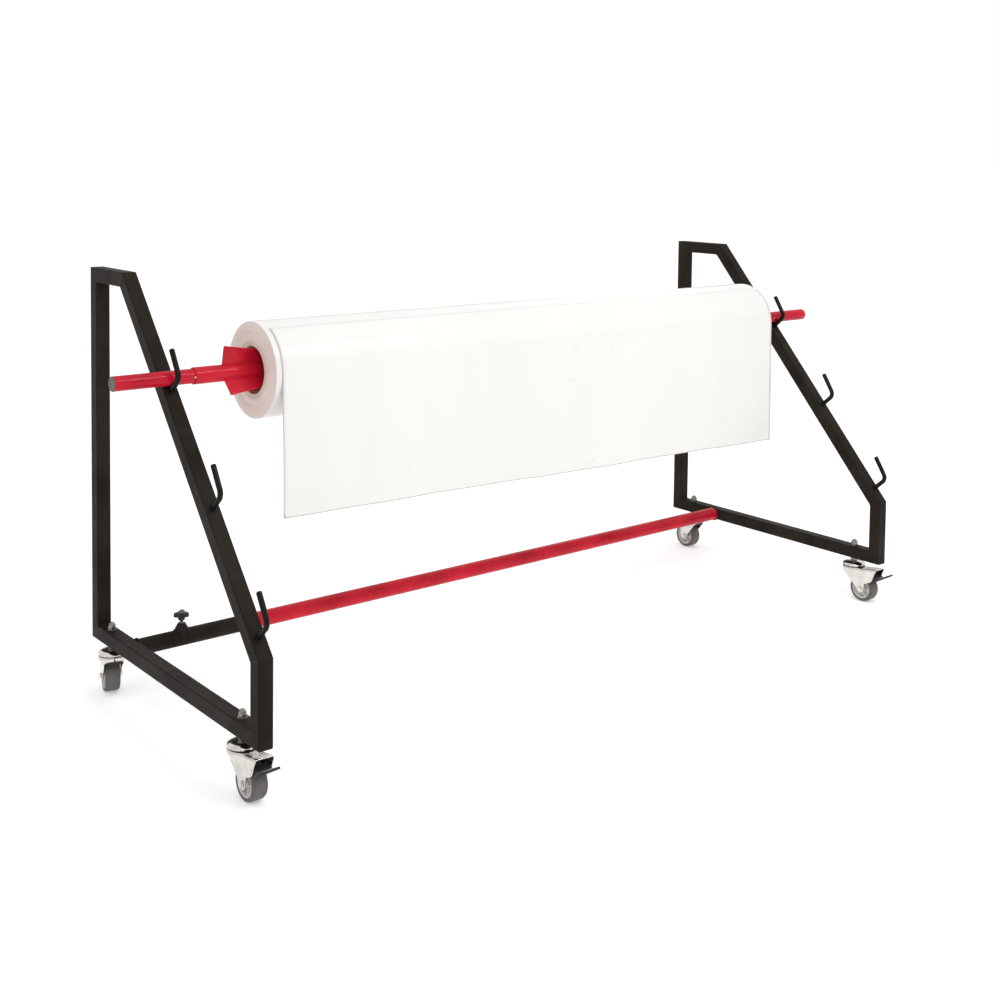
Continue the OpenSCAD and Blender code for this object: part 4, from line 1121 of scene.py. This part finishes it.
def buildSheet():
    # the free end: it leaves the roll at the back of the top, follows it round to the front and hangs straight down.
    # Its depth is a sum of slow waves that grow towards the free edge; the lower edge slants
    f = filmSize
    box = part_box("film_sheet")
    xl, xr = box[0][0], box[1][0]
    dropRight = barZ - box[0][2]
    dropLeft = dropRight - (0.402 - 0.368)
    wrap = math.radians(f["wrapDegrees"])
    cols, arcRows, hangRows = 150, 34, 70
    x = np.linspace(xl, xr, cols)
    s = (x - xl) / (xr - xl)
    edge = dropLeft + (dropRight - dropLeft) * s + 0.0012 * np.sin(2 * math.pi * 2.3 * s + 0.4) + 0.0006 * np.sin(2 * math.pi * 7 * s)
    edge = np.minimum(edge, dropRight)
    a = wrap * (1 - np.linspace(0, 1, arcRows))
    radius = rollRadius(x, np.zeros(cols)).max() + f["sheetGap"] + 0 * x
    rows = []
    for ai in a:
        rows.append(np.column_stack([x, barY - radius * math.cos(ai), barZ + radius * math.sin(ai)]))
    front = barY - radius
    for k in range(1, hangRows + 1):
        q = k / hangRows
        z = barZ - edge * q
        grow = smoothStep(np.array(q * 1.15))
        wave = f["waveHeight"] * grow * (0.5 * np.sin(2 * math.pi * 1.7 * s + 0.9) + 0.35 * np.sin(2 * math.pi * 3.1 * s + 2.2 + 0.6 * q)
                                         + 0.15 * np.sin(2 * math.pi * 6.4 * s + 1.1 - 0.8 * q))
        curl = 0.0022 * grow * (np.exp(-((x - xl) / 0.03) ** 2) + np.exp(-((xr - x) / 0.03) ** 2))
        rows.append(np.column_stack([x, front - np.abs(wave) * 0.4 - wave * 0.6 - 0.0016 * grow - curl, z]))
    grid = np.stack(rows)
    ob = makeMesh("filmFreeEnd", [(grid, gridFaces(*grid.shape[:2]))], filmSheetMaterial, sharpDegrees=80, recalc=False)
    turnOutwards(ob, np.array([0, barY, barZ - 0.1]))
    uvAlong(ob, lambda p: np.column_stack([
        np.minimum(np.minimum(p[:, 0] - xl, xr - p[:, 0]), p[:, 2] - barZ + np.interp(p[:, 0], x, edge)), p[:, 0]]))
    addSolidify(ob, f["sheetThickness"], 1.0)
    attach(ob, "bar")
    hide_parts("film_sheet")


buildCore()
buildRoll()
buildSheet()
print("film built")


# floor, light and camera

def buildStage():
    material, tree, shader, place = newMaterial("studioFloor", (0.86, 0.86, 0.86), 0.85, Emission_Strength=0.30, Specular_IOR_Level=0.0)
    shader.inputs["Emission Color"].default_value = (1, 1, 1, 1)
    tree.links.new(rampNode(tree, noiseNode(tree, place.outputs["Object"], 1.2, 3), [(0.3, (0.85, 0.85, 0.85)), (0.7, (0.88, 0.88, 0.88))]),
                   shader.inputs["Base Color"])
    size = 400
    floor = makeMesh("studioGround", [(np.array([(-size, -size, 0), (size, -size, 0), (size, size, 0), (-size, size, 0)], float), [(0, 1, 2, 3)])], material)
    world = bpy.data.worlds.new("studio")
    world.use_nodes = True
    bpy.context.scene.world = world
    tree = world.node_tree
    place = tree.nodes.new("ShaderNodeTexCoord")
    split = tree.nodes.new("ShaderNodeSeparateXYZ")
    tree.links.new(place.outputs["Generated"], split.inputs[0])
    surround = rampNode(tree, split.outputs["Z"], [(0.0, (0.42, 0.41, 0.40)), (0.10, (0.55, 0.54, 0.53)), (0.35, (1, 1, 1)), (1.0, (0.90, 0.90, 0.90))])
    seen = tree.nodes.new("ShaderNodeLightPath")
    colour = mixColour(tree, seen.outputs["Is Camera Ray"], surround, (1.0, 1.0, 1.0))
    tree.links.new(colour, tree.nodes["Background"].inputs["Color"])


def areaLight(name, spot, target, size, power, colour=(1, 1, 1)):
    light = bpy.data.lights.new(name, "AREA")
    light.shape = "RECTANGLE"
    light.size, light.size_y = size
    light.energy = power
    light.color = colour
    ob = bpy.data.objects.new(name, light)
    bpy.context.collection.objects.link(ob)
    ob.location = spot
    ob.rotation_euler = (Vector(target) - Vector(spot)).to_track_quat("-Z", "Y").to_euler()
    return ob


def buildLights():
    areaLight("keyLight", (-2.2, -3.6, 3.6), (0, 0, 0.6), (2.6, 1.4), 8)
    areaLight("topLight", (0.6, -0.6, 4.5), (0, 0, 0.6), (3.6, 1.6), 9)
    areaLight("rimLight", (3.5, 2.6, 2.6), (0, 0, 0.6), (1.6, 2.2), 8)
    areaLight("stripLight", (0.1, -2.07, 3.07), (0.1, 0, 0.9), (1.6, 0.08), 22)


cameraSize = dict(place=(-2.68111, -3.10285, 1.49490), yaw=39.116, pitch=3.290, roll=-0.679, lens=48.829, shift=(0.00638, -0.26633))


def buildCamera():
    c = cameraSize
    yaw, pitch, roll = (math.radians(c[k]) for k in ("yaw", "pitch", "roll"))
    forward = Vector((math.sin(yaw) * math.cos(pitch), math.cos(yaw) * math.cos(pitch), -math.sin(pitch)))
    right = Vector((math.cos(yaw), -math.sin(yaw), 0))
    down = forward.cross(right)
    r2 = math.cos(roll) * right + math.sin(roll) * down
    d2 = -math.sin(roll) * right + math.cos(roll) * down
    camera = bpy.data.cameras.new("camera")
    camera.lens = c["lens"]
    camera.sensor_width = 36
    camera.shift_x, camera.shift_y = c["shift"]
    camera.clip_end = 200
    ob = bpy.data.objects.new("camera", camera)
    bpy.context.collection.objects.link(ob)
    up, back = -d2, -forward
    ob.matrix_world = Matrix(((r2.x, up.x, back.x, c["place"][0]), (r2.y, up.y, back.y, c["place"][1]), (r2.z, up.z, back.z, c["place"][2]), (0, 0, 0, 1)))
    bpy.context.scene.camera = ob


buildStage()
buildLights()
buildCamera()
bpy.context.scene.view_settings.view_transform = "Standard"
print("stage ready")
